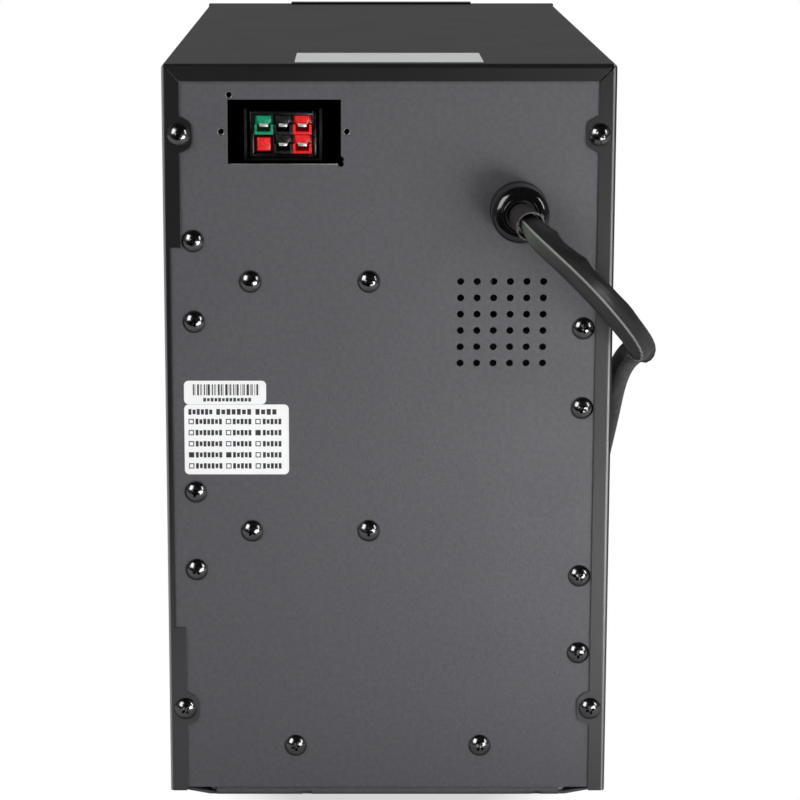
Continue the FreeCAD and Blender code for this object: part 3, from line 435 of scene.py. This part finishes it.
def noise(material, scale, detail=3.0, stretch=(1, 1, 1), on="Object"):
    """Noise with this many features a metre, on the object or along its UV map."""
    tree = material.node_tree
    place = tree.nodes.new("ShaderNodeTexCoord")
    turn = tree.nodes.new("ShaderNodeMapping")
    turn.inputs["Scale"].default_value = stretch
    feed(tree, place.outputs[on], turn.inputs["Vector"])
    texture = tree.nodes.new("ShaderNodeTexNoise")
    texture.inputs["Scale"].default_value = scale
    texture.inputs["Detail"].default_value = detail
    feed(tree, turn.outputs[0], texture.inputs["Vector"])
    return texture.outputs["Fac"]


# Most of a noise texture's values lie between these two.
noise_low = 0.35
noise_high = 0.65


def rough_skin(material, pattern, height):
    """Bump of this height in metres from a pattern."""
    tree = material.node_tree
    bump = tree.nodes.new("ShaderNodeBump")
    bump.inputs["Distance"].default_value = height
    feed(tree, pattern, bump.inputs["Height"])
    feed(tree, bump.outputs["Normal"], tree.nodes["Principled BSDF"].inputs["Normal"])


def vary_colour(material, pattern, low, high):
    tree = material.node_tree
    ramp = tree.nodes.new("ShaderNodeValToRGB")
    for stop, position, colour in zip(ramp.color_ramp.elements, (noise_low, noise_high),
                                      (low, high)):
        stop.position = position
        stop.color = (*colour, 1)
    feed(tree, pattern, ramp.inputs["Fac"])
    feed(tree, ramp.outputs["Color"], tree.nodes["Principled BSDF"].inputs["Base Color"])


def vary_roughness(material, pattern, low, high):
    tree = material.node_tree
    feed(tree, remapped(tree, pattern, noise_low, noise_high, low, high),
         tree.nodes["Principled BSDF"].inputs["Roughness"])


def band(tree, value, low, high, fade):
    """One between these two values, nothing outside them, with soft ends."""
    return maths(tree, "MULTIPLY", remapped(tree, value, low - fade, low),
                 remapped(tree, value, high + fade, high))


def paint_light_bands(material, on, colour, strength, *bands):
    """Paints this colour, a painted highlight or painted light, where the bands cross. Each is an
    axis, its two ends and their fade.
    """
    tree = material.node_tree
    axes = axes_of(tree, on)
    share = strength
    for axis, low, high, fade in bands:
        share = maths(tree, "MULTIPLY", share, band(tree, axes[axis], low, high, fade))
    # A Mix node has its colours at inputs 6 and 7, and the mixed colour at output 2.
    mix = tree.nodes.new("ShaderNodeMix")
    mix.data_type = "RGBA"
    base = tree.nodes["Principled BSDF"].inputs["Base Color"]
    feed(tree, share, mix.inputs[0])
    feed(tree, base.links[0].from_socket, mix.inputs[6])
    feed(tree, (*colour, 1), mix.inputs[7])
    feed(tree, mix.outputs[2], base)


jacket_rubber = finish("jacket_rubber", (0.022, 0.019, 0.019), 0.6)
vary_colour(jacket_rubber, noise(jacket_rubber, 300), (0.016, 0.014, 0.014), (0.03, 0.026, 0.026))
rough_skin(jacket_rubber, noise(jacket_rubber, 1800), 0.0001)

sleeve_black = finish("sleeve_black", (0.01, 0.01, 0.0105), 0.3)
vary_colour(sleeve_black, noise(sleeve_black, 1, stretch=(5, 40, 1), on="UV"),
            (0.009, 0.009, 0.009), (0.018, 0.018, 0.017))
vary_roughness(sleeve_black, noise(sleeve_black, 1, stretch=(8, 70, 1), on="UV"), 0.28, 0.4)
rough_skin(sleeve_black, noise(sleeve_black, 1, stretch=(14, 90, 1), on="UV"), 0.00025)

# The sleeve's left face carries a painted highlight at the jacket's mouth and a fainter painted
# highlight a little further on. The ridge of its crease carries a painted highlight line. The
# ridge lies where the UV map's X meets its own end, so its line has two halves.
left_face_highlight_green = (0.12, 0.135, 0.11)
left_face_faint_highlight = (0.03, 0.03, 0.028)
ridge_highlight_grey = (0.26, 0.255, 0.25)
paint_light_bands(sleeve_black, "UV", left_face_highlight_green, 1, ("X", 0.03, 0.2, 0.03), ("Y", 0, 0.04, 0.03))
paint_light_bands(sleeve_black, "UV", left_face_faint_highlight, 1, ("X", 0.05, 0.2, 0.04), ("Y", 0.06, 0.16, 0.03))
# Painted highlight along the crease's ridge, in two halves.
for ridge_half in (("X", -0.1, 0.008, 0.012), ("X", 0.992, 1.1, 0.012)):
    paint_light_bands(sleeve_black, "UV", ridge_highlight_grey, 0.85, ridge_half, ("Y", 0.03, 0.12, 0.06))

cut_edge = finish("cut_rubber_edge", (0.085, 0.078, 0.065), 0.7)
vary_colour(cut_edge, noise(cut_edge, 900), (0.07, 0.063, 0.052), (0.16, 0.145, 0.12))
rough_skin(cut_edge, noise(cut_edge, 1800), 0.0001)

cable = add_piece("free_cable", tube(tube_stations(), around=80), jacket_rubber, sleeve_black,
                  cut_edge, sharp=50)
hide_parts("battery_cable", "cable_coil", "cable_tail")


# Wrap cover: one folded sheet over the top and both sides, with its rear edge turned in to a
# narrow flange. It is sprayed with a smooth black powder that is baked on. Painted light makes
# the lower half of the flange lighter towards the bottom, and a painted highlight runs as a pale
# line along each rear bend.
def dress(material, *names):
    """Gives carried-over pieces this finish."""
    for name in names:
        nodes[name].data.materials.clear()
        nodes[name].data.materials.append(material)


cover_coat = finish("cover_coat", (0.006, 0.006, 0.0065), 0.36)
vary_colour(cover_coat, noise(cover_coat, 9), (0.0052, 0.0052, 0.0057), (0.007, 0.007, 0.0075))
vary_roughness(cover_coat, noise(cover_coat, 25), 0.35, 0.37)
rough_skin(cover_coat, noise(cover_coat, 1500), 0.00003)

flange_painted_light_grey = (0.042, 0.042, 0.044)
right_bend_highlight_grey = (0.26, 0.265, 0.27)
left_bend_highlight_grey = (0.3, 0.31, 0.32)
flange = ("Y", -0.22, -0.2078, 0.0003)
# Painted light: the flange grows lighter towards the bottom.
paint_light_bands(cover_coat, "Object", flange_painted_light_grey, 1, ("Z", -0.1, 0.06, 0.1), flange)
# Painted highlights along the right and left rear bends.
paint_light_bands(cover_coat, "Object", right_bend_highlight_grey, 0.8, ("X", 0.0936, 0.094, 0.0003), flange)
paint_light_bands(cover_coat, "Object", left_bend_highlight_grey, 0.8, ("X", -0.0954, -0.0944, 0.0006), flange)
dress(cover_coat, "wrap_cover")


# Rear and front panels and base pan: flat and folded sheets under a coarser black powder, which
# leaves a fine orange peel.
panel_coat = finish("panel_coat", (0.072, 0.072, 0.077), 0.55)
vary_colour(panel_coat, noise(panel_coat, 500, detail=5.0), (0.066, 0.065, 0.0735),
            (0.0785, 0.077, 0.0865))
vary_roughness(panel_coat, noise(panel_coat, 35), 0.5, 0.6)
rough_skin(panel_coat, noise(panel_coat, 1100, detail=5.0), 0.0001)
dress(panel_coat, "rear_panel", "front_panel", "base_pan")


# Cut edges: the punched holes round the window, and its own lower edge, show bare zinc inside,
# where the powder doesn't reach.
def turned(profile, steps):
    """A closed shape from a line of (radius, height) pairs, turned about Z."""
    bm = bmesh.new()
    points = [bm.verts.new((radius, 0, height)) for radius, height in profile]
    for before, after in zip(points, points[1:]):
        bm.edges.new((before, after))
    bmesh.ops.spin(bm, geom=bm.verts[:] + bm.edges[:], cent=(0, 0, 0), axis=(0, 0, 1),
                   angle=2 * math.pi, steps=steps, use_merge=True)
    bmesh.ops.remove_doubles(bm, verts=bm.verts, dist=1e-7)
    bmesh.ops.recalc_face_normals(bm, faces=bm.faces)
    return bm


def join(bm, part, place):
    """Adds a copy of another shape at this place."""
    mesh = bpy.data.meshes.new("part")
    part.to_mesh(mesh)
    mesh.transform(place)
    bm.from_mesh(mesh)
    bpy.data.meshes.remove(mesh)


def rounded_box(x0, x1, y0, y1, z0, z1, radius):
    bm = bmesh.new()
    bmesh.ops.create_cube(bm, size=1)
    bmesh.ops.scale(bm, vec=(x1 - x0, y1 - y0, z1 - z0), verts=bm.verts)
    bmesh.ops.translate(bm, vec=((x0 + x1) / 2, (y0 + y1) / 2, (z0 + z1) / 2), verts=bm.verts)
    bmesh.ops.bevel(bm, geom=bm.edges[:], offset=radius, segments=2, profile=0.5,
                    affect="EDGES", material=-1)
    return bm


panel_face = -0.20815
panel_inside = -0.20695
plug_hole_radius = 0.0016
plug_holes = ((-0.0701, 0.2916), (-0.0175, 0.2916), (-0.0667, 0.3069))
ring_mouth = plug_hole_radius + 0.00004
ring_bore = plug_hole_radius - 0.00042
ring_start = 0.00012
ring_narrow = 0.00055
ring_end = 0.00135
ring_shift = 0.00015
ring_proud = 0.0001
window_left = -0.0675
window_right = -0.0201
window_low = 0.2781
edge_from_left = 0.0012
edge_from_right = 0.0015
edge_proud = 0.00003
edge_below = 0.00004
edge_above = 0.00012
edge_round = 0.00004

bare_zinc = finish("bare_zinc", (0.6, 0.6, 0.58), 0.3, metal=1.0)
vary_roughness(bare_zinc, noise(bare_zinc, 2000), 0.28, 0.5)
rough_skin(bare_zinc, noise(bare_zinc, 4000), 0.00002)

edge_ring = turned([(ring_mouth, ring_start), (ring_bore, ring_narrow), (ring_bore, ring_end),
                    (ring_mouth, ring_end), (ring_mouth, ring_start)], steps=32)
bm = bmesh.new()
for x, z in plug_holes:
    place = Matrix.Translation((x - ring_shift, panel_face - ring_proud, z + ring_shift))
    join(bm, edge_ring, place @ Matrix.Rotation(math.radians(-90), 4, "X"))
edge_ring.free()
lower_edge = rounded_box(window_left + edge_from_left, window_right - edge_from_right,
                         panel_face - edge_proud, panel_inside,
                         window_low - edge_below, window_low + edge_above, edge_round)
join(bm, lower_edge, Matrix.Identity(4))
lower_edge.free()
edges = add_piece("bare_cut_edges", bm, bare_zinc)


# Screws: M4 with low pan heads and a cross recess, blackened and glossy with oil. Four hold the
# cover's tabs, the others the rails, shelves and pan behind the panels.
def carved(solid, cutter):
    """One closed shape less another."""
    holders = []
    for shape in (solid, cutter):
        mesh = bpy.data.meshes.new("carving")
        shape.to_mesh(mesh)
        shape.free()
        holder = bpy.data.objects.new("carving", mesh)
        scene.collection.objects.link(holder)
        holders.append(holder)
    cut = holders[0].modifiers.new("cut", "BOOLEAN")
    cut.operation = "DIFFERENCE"
    cut.solver = "EXACT"
    cut.use_self = True
    cut.object = holders[1]
    scene.view_layers[0].update()
    mesh = bpy.data.meshes.new_from_object(
        holders[0].evaluated_get(bpy.context.evaluated_depsgraph_get()))
    bm = bmesh.new()
    bm.from_mesh(mesh)
    for holder in holders:
        bpy.data.objects.remove(holder)
    return bm


def cross_recess(wing, half_slot, top, depth):
    """The shape of the driver's tip: two crossed bars that narrow towards their point."""
    tip_taper = (0.45, 0.75, 1)
    bm = bmesh.new()
    for turn in (0, math.pi / 2):
        bar = bmesh.new()
        made = bmesh.ops.create_cube(bar, size=1)["verts"]
        bmesh.ops.scale(bar, vec=(2 * wing, 2 * half_slot, depth), verts=made)
        bmesh.ops.translate(bar, vec=(0, 0, top - depth / 2), verts=made)
        low = [v for v in bar.verts if v.co.z < top - depth / 2]
        bmesh.ops.scale(bar, vec=tip_taper, verts=low)
        join(bm, bar, Matrix.Rotation(turn, 4, "Z"))
        bar.free()
    return bm


head_radius = 0.0046
dome_radius = 0.0058
dome_drop = 0.0031
dome_edge = 57
dome_step = 5.7


def screw_head():
    """A flat underside at height 0 and a dome over it that starts in a short upright edge."""
    angles = [math.radians(dome_edge - dome_step * number) for number in range(11)]
    dome = [(dome_radius * math.sin(angle), dome_radius * math.cos(angle) - dome_drop)
            for angle in angles]
    head = turned([(0, 0), (head_radius, 0), *dome], steps=48)
    return carved(head, cross_recess(wing=0.0025, half_slot=0.00062, top=0.0036, depth=0.0030))


screw_black = finish("screw_black", (0.2, 0.2, 0.205), 0.16, metal=1.0)
vary_roughness(screw_black, noise(screw_black, 900), 0.1, 0.22)
rough_skin(screw_black, noise(screw_black, 1600), 0.00002)

cover_face = -0.20915
front_face = 0.19085
rail_x = 0.0825
rail_half_gap = 0.01724
left_rail_rows = (0.120, 0.2284)
right_rail_rows = (0.0827, 0.1911)
shelf_rows = (0.120, 0.2284)
shelf_columns = (-0.0585, -0.0084)
pan_x = 0.0402
pan_row = 0.0234
tab_x = 0.088
tab_rows = (0.0405, 0.2905)
first_stop = 38
stop_step = 17

rail_screws = [(end * rail_x, row + half * rail_half_gap)
               for end, rows in ((-1, left_rail_rows), (1, right_rail_rows))
               for row in rows for half in (-1, 1)]
panel_screws = rail_screws + [(x, row) for row in shelf_rows for x in shelf_columns]
panel_screws += [(-pan_x, pan_row), (pan_x, pan_row)]
corner_screws = [(end * tab_x, row) for end in (-1, 1) for row in tab_rows]

one_head = screw_head()
for name, places, y, facing in (("corner_screws", corner_screws, cover_face, -1),
                                ("panel_screws", panel_screws, panel_face, -1),
                                ("front_screws", rail_screws, front_face, 1)):
    bm = bmesh.new()
    lay = Matrix.Rotation(math.radians(-90 * facing), 4, "X")
    for number, (x, z) in enumerate(places):
        # Every screw has stopped at its own angle.
        turn = Matrix.Rotation(math.radians(first_stop + stop_step * ((number * 7) % 5)), 4, "Z")
        join(bm, one_head, Matrix.Translation((x, y, z)) @ lay @ turn)
    heads = add_piece(name + "_heads", bm, screw_black, sharp=32)
    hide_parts(name)
one_head.free()


# Labels: two white paper stickers on the rear panel and a strip of silver foil on the cover.
# The print is plain: bars on the small one, and rows of boxes and short marks on the large one.
label_paper = finish("label_paper", (0.91, 0.91, 0.905), 0.45)
vary_colour(label_paper, noise(label_paper, 60), (0.89, 0.89, 0.885), (0.93, 0.93, 0.925))
rough_skin(label_paper, noise(label_paper, 1500), 0.00003)
dress(label_paper, "rating_label", "barcode_label")

label_foil = finish("label_foil", (0.68, 0.685, 0.685), 0.4, metal=0.3)
vary_roughness(label_foil, noise(label_foil, 300, stretch=(0.1, 1, 1)), 0.34, 0.48)
rough_skin(label_foil, noise(label_foil, 900), 0.00001)
dress(label_foil, "top_label")

label_ink = finish("label_ink", (0.02, 0.02, 0.022), 0.5)
vary_colour(label_ink, noise(label_ink, 900), (0.012, 0.012, 0.014), (0.05, 0.05, 0.052))
rough_skin(label_ink, noise(label_ink, 1500), 0.00001)

ink_thickness = 0.00003
mark_share = 0.72
mark_heights = (1, 0.8, 1, 0.9)


def print_mark(bm, x, z, width, height, face):
    """A mark of ink from its left end, at this middle height."""
    made = bmesh.ops.create_cube(bm, size=1)["verts"]
    bmesh.ops.scale(bm, vec=(width, ink_thickness, height), verts=made)
    bmesh.ops.translate(bm, vec=(x + width / 2, face, z), verts=made)


def print_row(bm, x, z, count, pitch, height, face):
    """A row of upright marks of uneven height, with one gap for each mark."""
    for number in range(count):
        print_mark(bm, x, z, pitch * mark_share, height * mark_heights[number % 4], face)
        x += pitch


bar_unit = 0.00026
bar_height = 0.0048
bar_widths = (2, 1, 3, 1, 1, 2, 1, 4, 2, 1, 1, 3, 2, 1, 4, 1, 2, 2, 1, 3, 1, 1, 2, 4, 1, 2, 1, 3)
bars_left = 0.0038
bars_below_top = 0.0039
marks_left = 0.0082
marks_above_foot = 0.0020
mark_count = 13
mark_size = 0.0016

low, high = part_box("barcode_label")
label_face = low[1]
bm = bmesh.new()
x = low[0] + bars_left
for number, width in enumerate(bar_widths):
    print_mark(bm, x, high[2] - bars_below_top, bar_unit * width, bar_height, label_face)
    # The gap after a bar is one to three units wide.
    x += bar_unit * (width + 1 + (number * 5) % 3)
print_row(bm, low[0] + marks_left, low[2] + marks_above_foot, mark_count, mark_size, mark_size,
          label_face)
bars = add_piece("barcode_print", bm, label_ink)

# Title groups: start from the label's left edge, number of marks, pitch. Columns: start of the
# box and of the marks after it, number of marks.
title_groups = ((0.0018, 6, 0.00178), (0.0137, 7, 0.0022), (0.0304, 4, 0.0024))
title_below_top = 0.0032
title_height = 0.0025
columns = ((0.0018, 0.0048, 7), (0.0177, 0.0207, 5), (0.0303, 0.0335, 5))
ticked = {(1, 2), (3, 0), (3, 1)}
box_rows = 5
first_row_below_top = 0.0074
row_pitch = 0.00485
row_mark_pitch = 0.00167
row_mark_height = 0.0024
box_size = 0.0023
box_line = 0.0004

low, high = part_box("rating_label")
bm = bmesh.new()
for start, count, pitch in title_groups:
    print_row(bm, low[0] + start, high[2] - title_below_top, count, pitch, title_height,
              label_face)
for row in range(box_rows):
    z = high[2] - first_row_below_top - row_pitch * row
    for column, (left, marks, count) in enumerate(columns):
        x = low[0] + left
        if (row, column) in ticked:
            print_mark(bm, x, z, box_size, box_size, label_face)
        else:
            for end in (-1, 1):
                middle = end * (box_size - box_line) / 2
                print_mark(bm, x, z + middle, box_size, box_line, label_face)
                print_mark(bm, x + (box_size - box_line) / 2 + middle, z, box_line,
                           box_size - 2 * box_line, label_face)
        print_row(bm, low[0] + marks, z, count, row_mark_pitch, row_mark_height, label_face)
rows = add_piece("rating_print", bm, label_ink)


# Socket: moulded pole housings stand in a black carrier on a steel bracket behind the window.
# Each has a hood that tapers down to a silvered contact, over a trough for the mating pole.
moulding_black = finish("moulding_black", (0.003, 0.003, 0.0033), 0.28)
vary_roughness(moulding_black, noise(moulding_black, 400), 0.22, 0.36)
rough_skin(moulding_black, noise(moulding_black, 2200), 0.00003)

bracket_coat = finish("bracket_coat", (0.005, 0.005, 0.0055), 0.35)
vary_roughness(bracket_coat, noise(bracket_coat, 500), 0.3, 0.42)
rough_skin(bracket_coat, noise(bracket_coat, 1500), 0.00003)
dress(bracket_coat, "socket_bracket")

contact_silver = finish("contact_silver", (0.8, 0.79, 0.76), 0.4, metal=0.85)
vary_roughness(contact_silver, noise(contact_silver, 1500), 0.34, 0.5)
rough_skin(contact_silver, noise(contact_silver, 4000), 0.00001)


def moulded(name, low, high):
    """A glossy moulded plastic with a little flow in its colour."""
    material = finish(name, low, 0.25)
    vary_colour(material, noise(material, 400), low, high)
    vary_roughness(material, noise(material, 900), 0.2, 0.34)
    rough_skin(material, noise(material, 2500), 0.00001)
    return material


pole_red = moulded("pole_red", (0.76, 0.012, 0.014), (0.88, 0.024, 0.022))
pole_green = moulded("pole_green", (0.006, 0.26, 0.13), (0.012, 0.33, 0.17))
pole_black = moulded("pole_black", (0.010, 0.010, 0.0105), (0.016, 0.016, 0.017))

pole_half = 0.00395
pole_pitch = 0.0081
pole_length = 0.024
pole_wall = 0.0011
pole_round = 0.0003
pole_proud = 0.001
trough_top = 0.0003
trough_length = 0.012
trough_round = 0.00028
hood_set_back = 0.0022
hood_end = 0.0095
hood_lap = 0.0002
wall_start = 0.009
taper_start = 0.0002
taper_end = 0.0090
taper_half = 0.0031
taper_tip_half = 0.0019
taper_shoulder = 0.0022
taper_tip = -0.0002
taper_round = 0.0004


def drawn_out(outline, y0, y1, radius):
    """A shape with this (x, z) outline, drawn out along Y, with its edges rounded."""
    bm = bmesh.new()
    bm.faces.new([bm.verts.new((x, y0, z)) for x, z in outline])
    grown = bmesh.ops.extrude_face_region(bm, geom=bm.faces[:])
    bmesh.ops.translate(bm, vec=(0, y1 - y0, 0),
                        verts=[v for v in grown["geom"] if isinstance(v, bmesh.types.BMVert)])
    bmesh.ops.recalc_face_normals(bm, faces=bm.faces)
    bmesh.ops.bevel(bm, geom=bm.edges[:], offset=radius, segments=3, profile=0.5,
                    affect="EDGES", material=-1)
    return bm


def gathered(parts, place=Matrix.Identity(4)):
    """One mesh from several shapes, all moved to this place."""
    bm = bmesh.new()
    for part in parts:
        join(bm, part, place)
        part.free()
    return bm


def pole_housing():
    """Its front is at y = 0. A U-shaped trough, the wall behind it, a hood over it, and the
    tapered block under the hood's front."""
    inner = pole_half - pole_wall
    trough = [(-pole_half, -pole_half), (pole_half, -pole_half), (pole_half, trough_top),
              (inner, trough_top), (inner, -inner), (-inner, -inner), (-inner, trough_top),
              (-pole_half, trough_top)]
    taper = [(-taper_half, pole_half), (taper_half, pole_half), (taper_half, taper_shoulder),
             (taper_tip_half, taper_tip), (-taper_tip_half, taper_tip),
             (-taper_half, taper_shoulder)]
    return gathered([
        drawn_out(trough, 0, trough_length, trough_round),
        rounded_box(-pole_half, pole_half, wall_start, pole_length, -pole_half, pole_half,
                    pole_round),
        rounded_box(-pole_half, pole_half, hood_set_back, hood_end, trough_top - hood_lap,
                    pole_half, pole_round),
        drawn_out(taper, taper_start, taper_end, taper_round),
    ])


def pole_contact():
    """A strip under the hood, with its end rolled up over the hood's lip."""
    return gathered([
        rounded_box(-0.0017, 0.0017, -0.0008, 0.0088, -0.0006, -0.0001, 0.0001),
        rounded_box(-0.0018, 0.0018, -0.0010, 0.0001, -0.0005, 0.0008, 0.0003),
    ])


carrier_low, carrier_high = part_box("socket_carrier")
block_middle = (Vector(carrier_low) + Vector(carrier_high)) / 2
pole_front = carrier_low[1] - pole_proud


def pole_place(column, row):
    return Matrix.Translation((block_middle.x + (column - 1) * pole_pitch, pole_front,
                               block_middle.z + (0.5 - row) * pole_pitch))


housing = pole_housing()
contact = pole_contact()
contacts = bmesh.new()
for name, column, row, colour, slot in (
        ("socket_pole_green", 0, 0, pole_green, "pole_green"),
        ("socket_pole_black_upper", 1, 0, pole_black, "black_moulding"),
        ("socket_pole_red_upper", 2, 0, pole_red, "pole_red"),
        ("socket_pole_black_lower", 1, 1, pole_black, "black_moulding"),
        ("socket_pole_red_lower", 2, 1, pole_red, "pole_red")):
    bm = bmesh.new()
    join(bm, housing, pole_place(column, row))
    join(contacts, contact, pole_place(column, row))
    pole = add_piece(name + "_housing", bm, colour)
    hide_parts(name)
strips = add_piece("socket_contact_strips", contacts, contact_silver)
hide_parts("socket_contacts")
housing.free()
contact.free()

blank_nose = rounded_box(-0.0028, 0.0028, 0, 0.0100, -0.0027, 0.0029, 0.0005)
blank_body = rounded_box(-pole_half, pole_half, 0.0075, pole_length, -pole_half, pole_half,
                         pole_round)
blank = add_piece("socket_blank_plug", gathered([blank_nose, blank_body], pole_place(0, 1)),
                  pole_red)
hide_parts("socket_blank")


# Socket carrier: a black moulded frame round all six places, with thin ribs between them. It
# holds the pole housings in line behind the window.
carrier_wall = 0.0017
carrier_round = 0.0004
wall_lap = 0.0005
rib_lap = 0.0010
rib_round = 0.00003
rib_gap = 0.00001
bar_set_back = 0.0001
rib_half = pole_pitch / 2 - pole_half - rib_gap

x0, y0, z0 = carrier_low
x1, y1, z1 = carrier_high
parts = [rounded_box(x0, x0 + carrier_wall, y0, y1, z0, z1, carrier_round),
         rounded_box(x1 - carrier_wall, x1, y0, y1, z0, z1, carrier_round)]
for low, high in ((z0, z0 + carrier_wall), (z1 - carrier_wall, z1)):
    parts.append(rounded_box(x0 + wall_lap, x1 - wall_lap, y0 + bar_set_back, y1, low, high,
                             carrier_round))
parts.append(rounded_box(x0 + rib_lap, x1 - rib_lap, y0, y1, block_middle.z - rib_half,
                         block_middle.z + rib_half, rib_round))
for end in (-1, 1):
    x = block_middle.x + end * pole_pitch / 2
    parts.append(rounded_box(x - rib_half, x + rib_half, y0, y1, z0 + rib_lap, z1 - rib_lap,
                             rib_round))
carrier = add_piece("socket_carrier_frame", gathered(parts), moulding_black)
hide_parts("socket_carrier")


# Cable gland: a smooth body of black nylon goes through the panel to its lock nut inside. A
# rubber seal and a polished dome nut grip the jacket.
gland_nylon = finish("gland_nylon", (0.0025, 0.0027, 0.003), 0.12)
gland_nylon.node_tree.nodes["Principled BSDF"].inputs["IOR"].default_value = 1.7
vary_roughness(gland_nylon, noise(gland_nylon, 300), 0.09, 0.18)
rough_skin(gland_nylon, noise(gland_nylon, 700), 0.00002)
dress(gland_nylon, "gland_lock_nut")

gland_bore = 0.0065
thread_radius = 0.010
thread_end = -0.0112
neck_radius = 0.009
neck_end = 0.010
collar_radius = 0.0122
collar_end = 0.005
nut_bore = 0.0091
nut_radius = 0.0120
nut_foot = 0.0051
nut_step = 0.0101
nut_dome_foot = 0.016
nut_dome_width = 0.0055
nut_dome_height = 0.004
nut_mouth = 0.0067

body = turned([(gland_bore, neck_end), (neck_radius, neck_end), (neck_radius, collar_end),
               (0.0112, collar_end), (0.0119, 0.0047), (collar_radius, 0.0040),
               (collar_radius, 0), (thread_radius, 0), (thread_radius, thread_end),
               (gland_bore, thread_end), (gland_bore, neck_end)], steps=96)
dome = [(gland_bore + nut_dome_width * math.cos(angle),
         nut_dome_foot + nut_dome_height * math.sin(angle))
        for angle in (math.radians(6 * number) for number in range(13))]
lip = [(0.0081, 0.01935), (0.0078, 0.01935), (0.00765, 0.0197), (0.0074, 0.0199),
       (0.0070, 0.0199), (0.00677, 0.0197), (nut_mouth, 0.0195), (nut_mouth, 0.0188),
       (0.0077, nut_step)]
nut = turned([(nut_bore, nut_foot), (nut_radius, nut_foot), *dome, *lip, (nut_bore, nut_step),
              (nut_bore, nut_foot)], steps=96)
gland_place = (Matrix.Translation((gland_x, panel_face, gland_height))
               @ Matrix.Rotation(math.radians(90), 4, "X"))
gland = add_piece("gland_turned_parts", gathered([body, nut], gland_place), gland_nylon)
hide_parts("gland_body", "gland_nut")

seal_rubber = finish("seal_rubber", (0.012, 0.011, 0.011), 0.7)
vary_roughness(seal_rubber, noise(seal_rubber, 300), 0.6, 0.8)
rough_skin(seal_rubber, noise(seal_rubber, 2000), 0.00005)
dress(seal_rubber, "gland_seal")


# Coil straps and plug: two woven bands hold the turns of the coil. The plug is a moulded shell
# with a tapered strain relief and the same poles as the socket.
strap_woven = finish("strap_woven", (0.018, 0.018, 0.018), 0.8)
vary_colour(strap_woven, noise(strap_woven, 500), (0.012, 0.012, 0.012), (0.028, 0.028, 0.028))
rough_skin(strap_woven, noise(strap_woven, 1800), 0.0003)
dress(strap_woven, "cable_straps")
dress(moulding_black, "plug_shell")
dress(pole_red, "plug_poles")


# Front bezel: a moulded cover with rounded edges snaps into the front panel, and a polished band
# runs over its top and down its middle.
bezel_plastic = finish("bezel_plastic", (0.016, 0.016, 0.017), 0.45)
vary_roughness(bezel_plastic, noise(bezel_plastic, 40), 0.4, 0.5)
rough_skin(bezel_plastic, noise(bezel_plastic, 1500), 0.00005)
dress(bezel_plastic, "front_bezel")

band_gloss = finish("band_gloss", (0.005, 0.005, 0.0055), 0.06)
vary_roughness(band_gloss, noise(band_gloss, 60), 0.04, 0.1)
rough_skin(band_gloss, noise(band_gloss, 120), 0.00001)
dress(band_gloss, "bezel_band")


# Inside the case: plated shelves, rails and trays, two rows of sealed blocks with their leads,
# and the fuses with their studs. None of it shows from outside.
zinc_plate = finish("zinc_plate", (0.5, 0.51, 0.52), 0.35, metal=1.0)
vary_roughness(zinc_plate, noise(zinc_plate, 60, stretch=(1, 0.1, 1)), 0.28, 0.45)
rough_skin(zinc_plate, noise(zinc_plate, 700), 0.00001)

brass = finish("terminal_brass", (0.72, 0.6, 0.36), 0.3, metal=1.0)
vary_roughness(brass, noise(brass, 400), 0.22, 0.4)
rough_skin(brass, noise(brass, 1500), 0.00001)

block_case = moulded("block_case", (0.05, 0.052, 0.056), (0.06, 0.062, 0.066))
lead_red = moulded("lead_red", (0.45, 0.02, 0.018), (0.52, 0.03, 0.025))
lead_black = moulded("lead_black", (0.015, 0.015, 0.016), (0.022, 0.022, 0.024))
fuse_ceramic = moulded("fuse_ceramic", (0.7, 0.68, 0.62), (0.78, 0.76, 0.7))

for name in nodes:
    if name.endswith(("_rail", "_shelf", "_tray")):
        dress(zinc_plate, name)
    elif "_battery_" in name:
        dress(block_case, name)
    elif name.endswith("_link_leads") or name == "black_leads":
        dress(lead_black, name)
dress(lead_red, "red_leads")
dress(moulding_black, "fuse_block")
dress(fuse_ceramic, "fuses")
dress(brass, "battery_terminals", "fuse_block_studs")
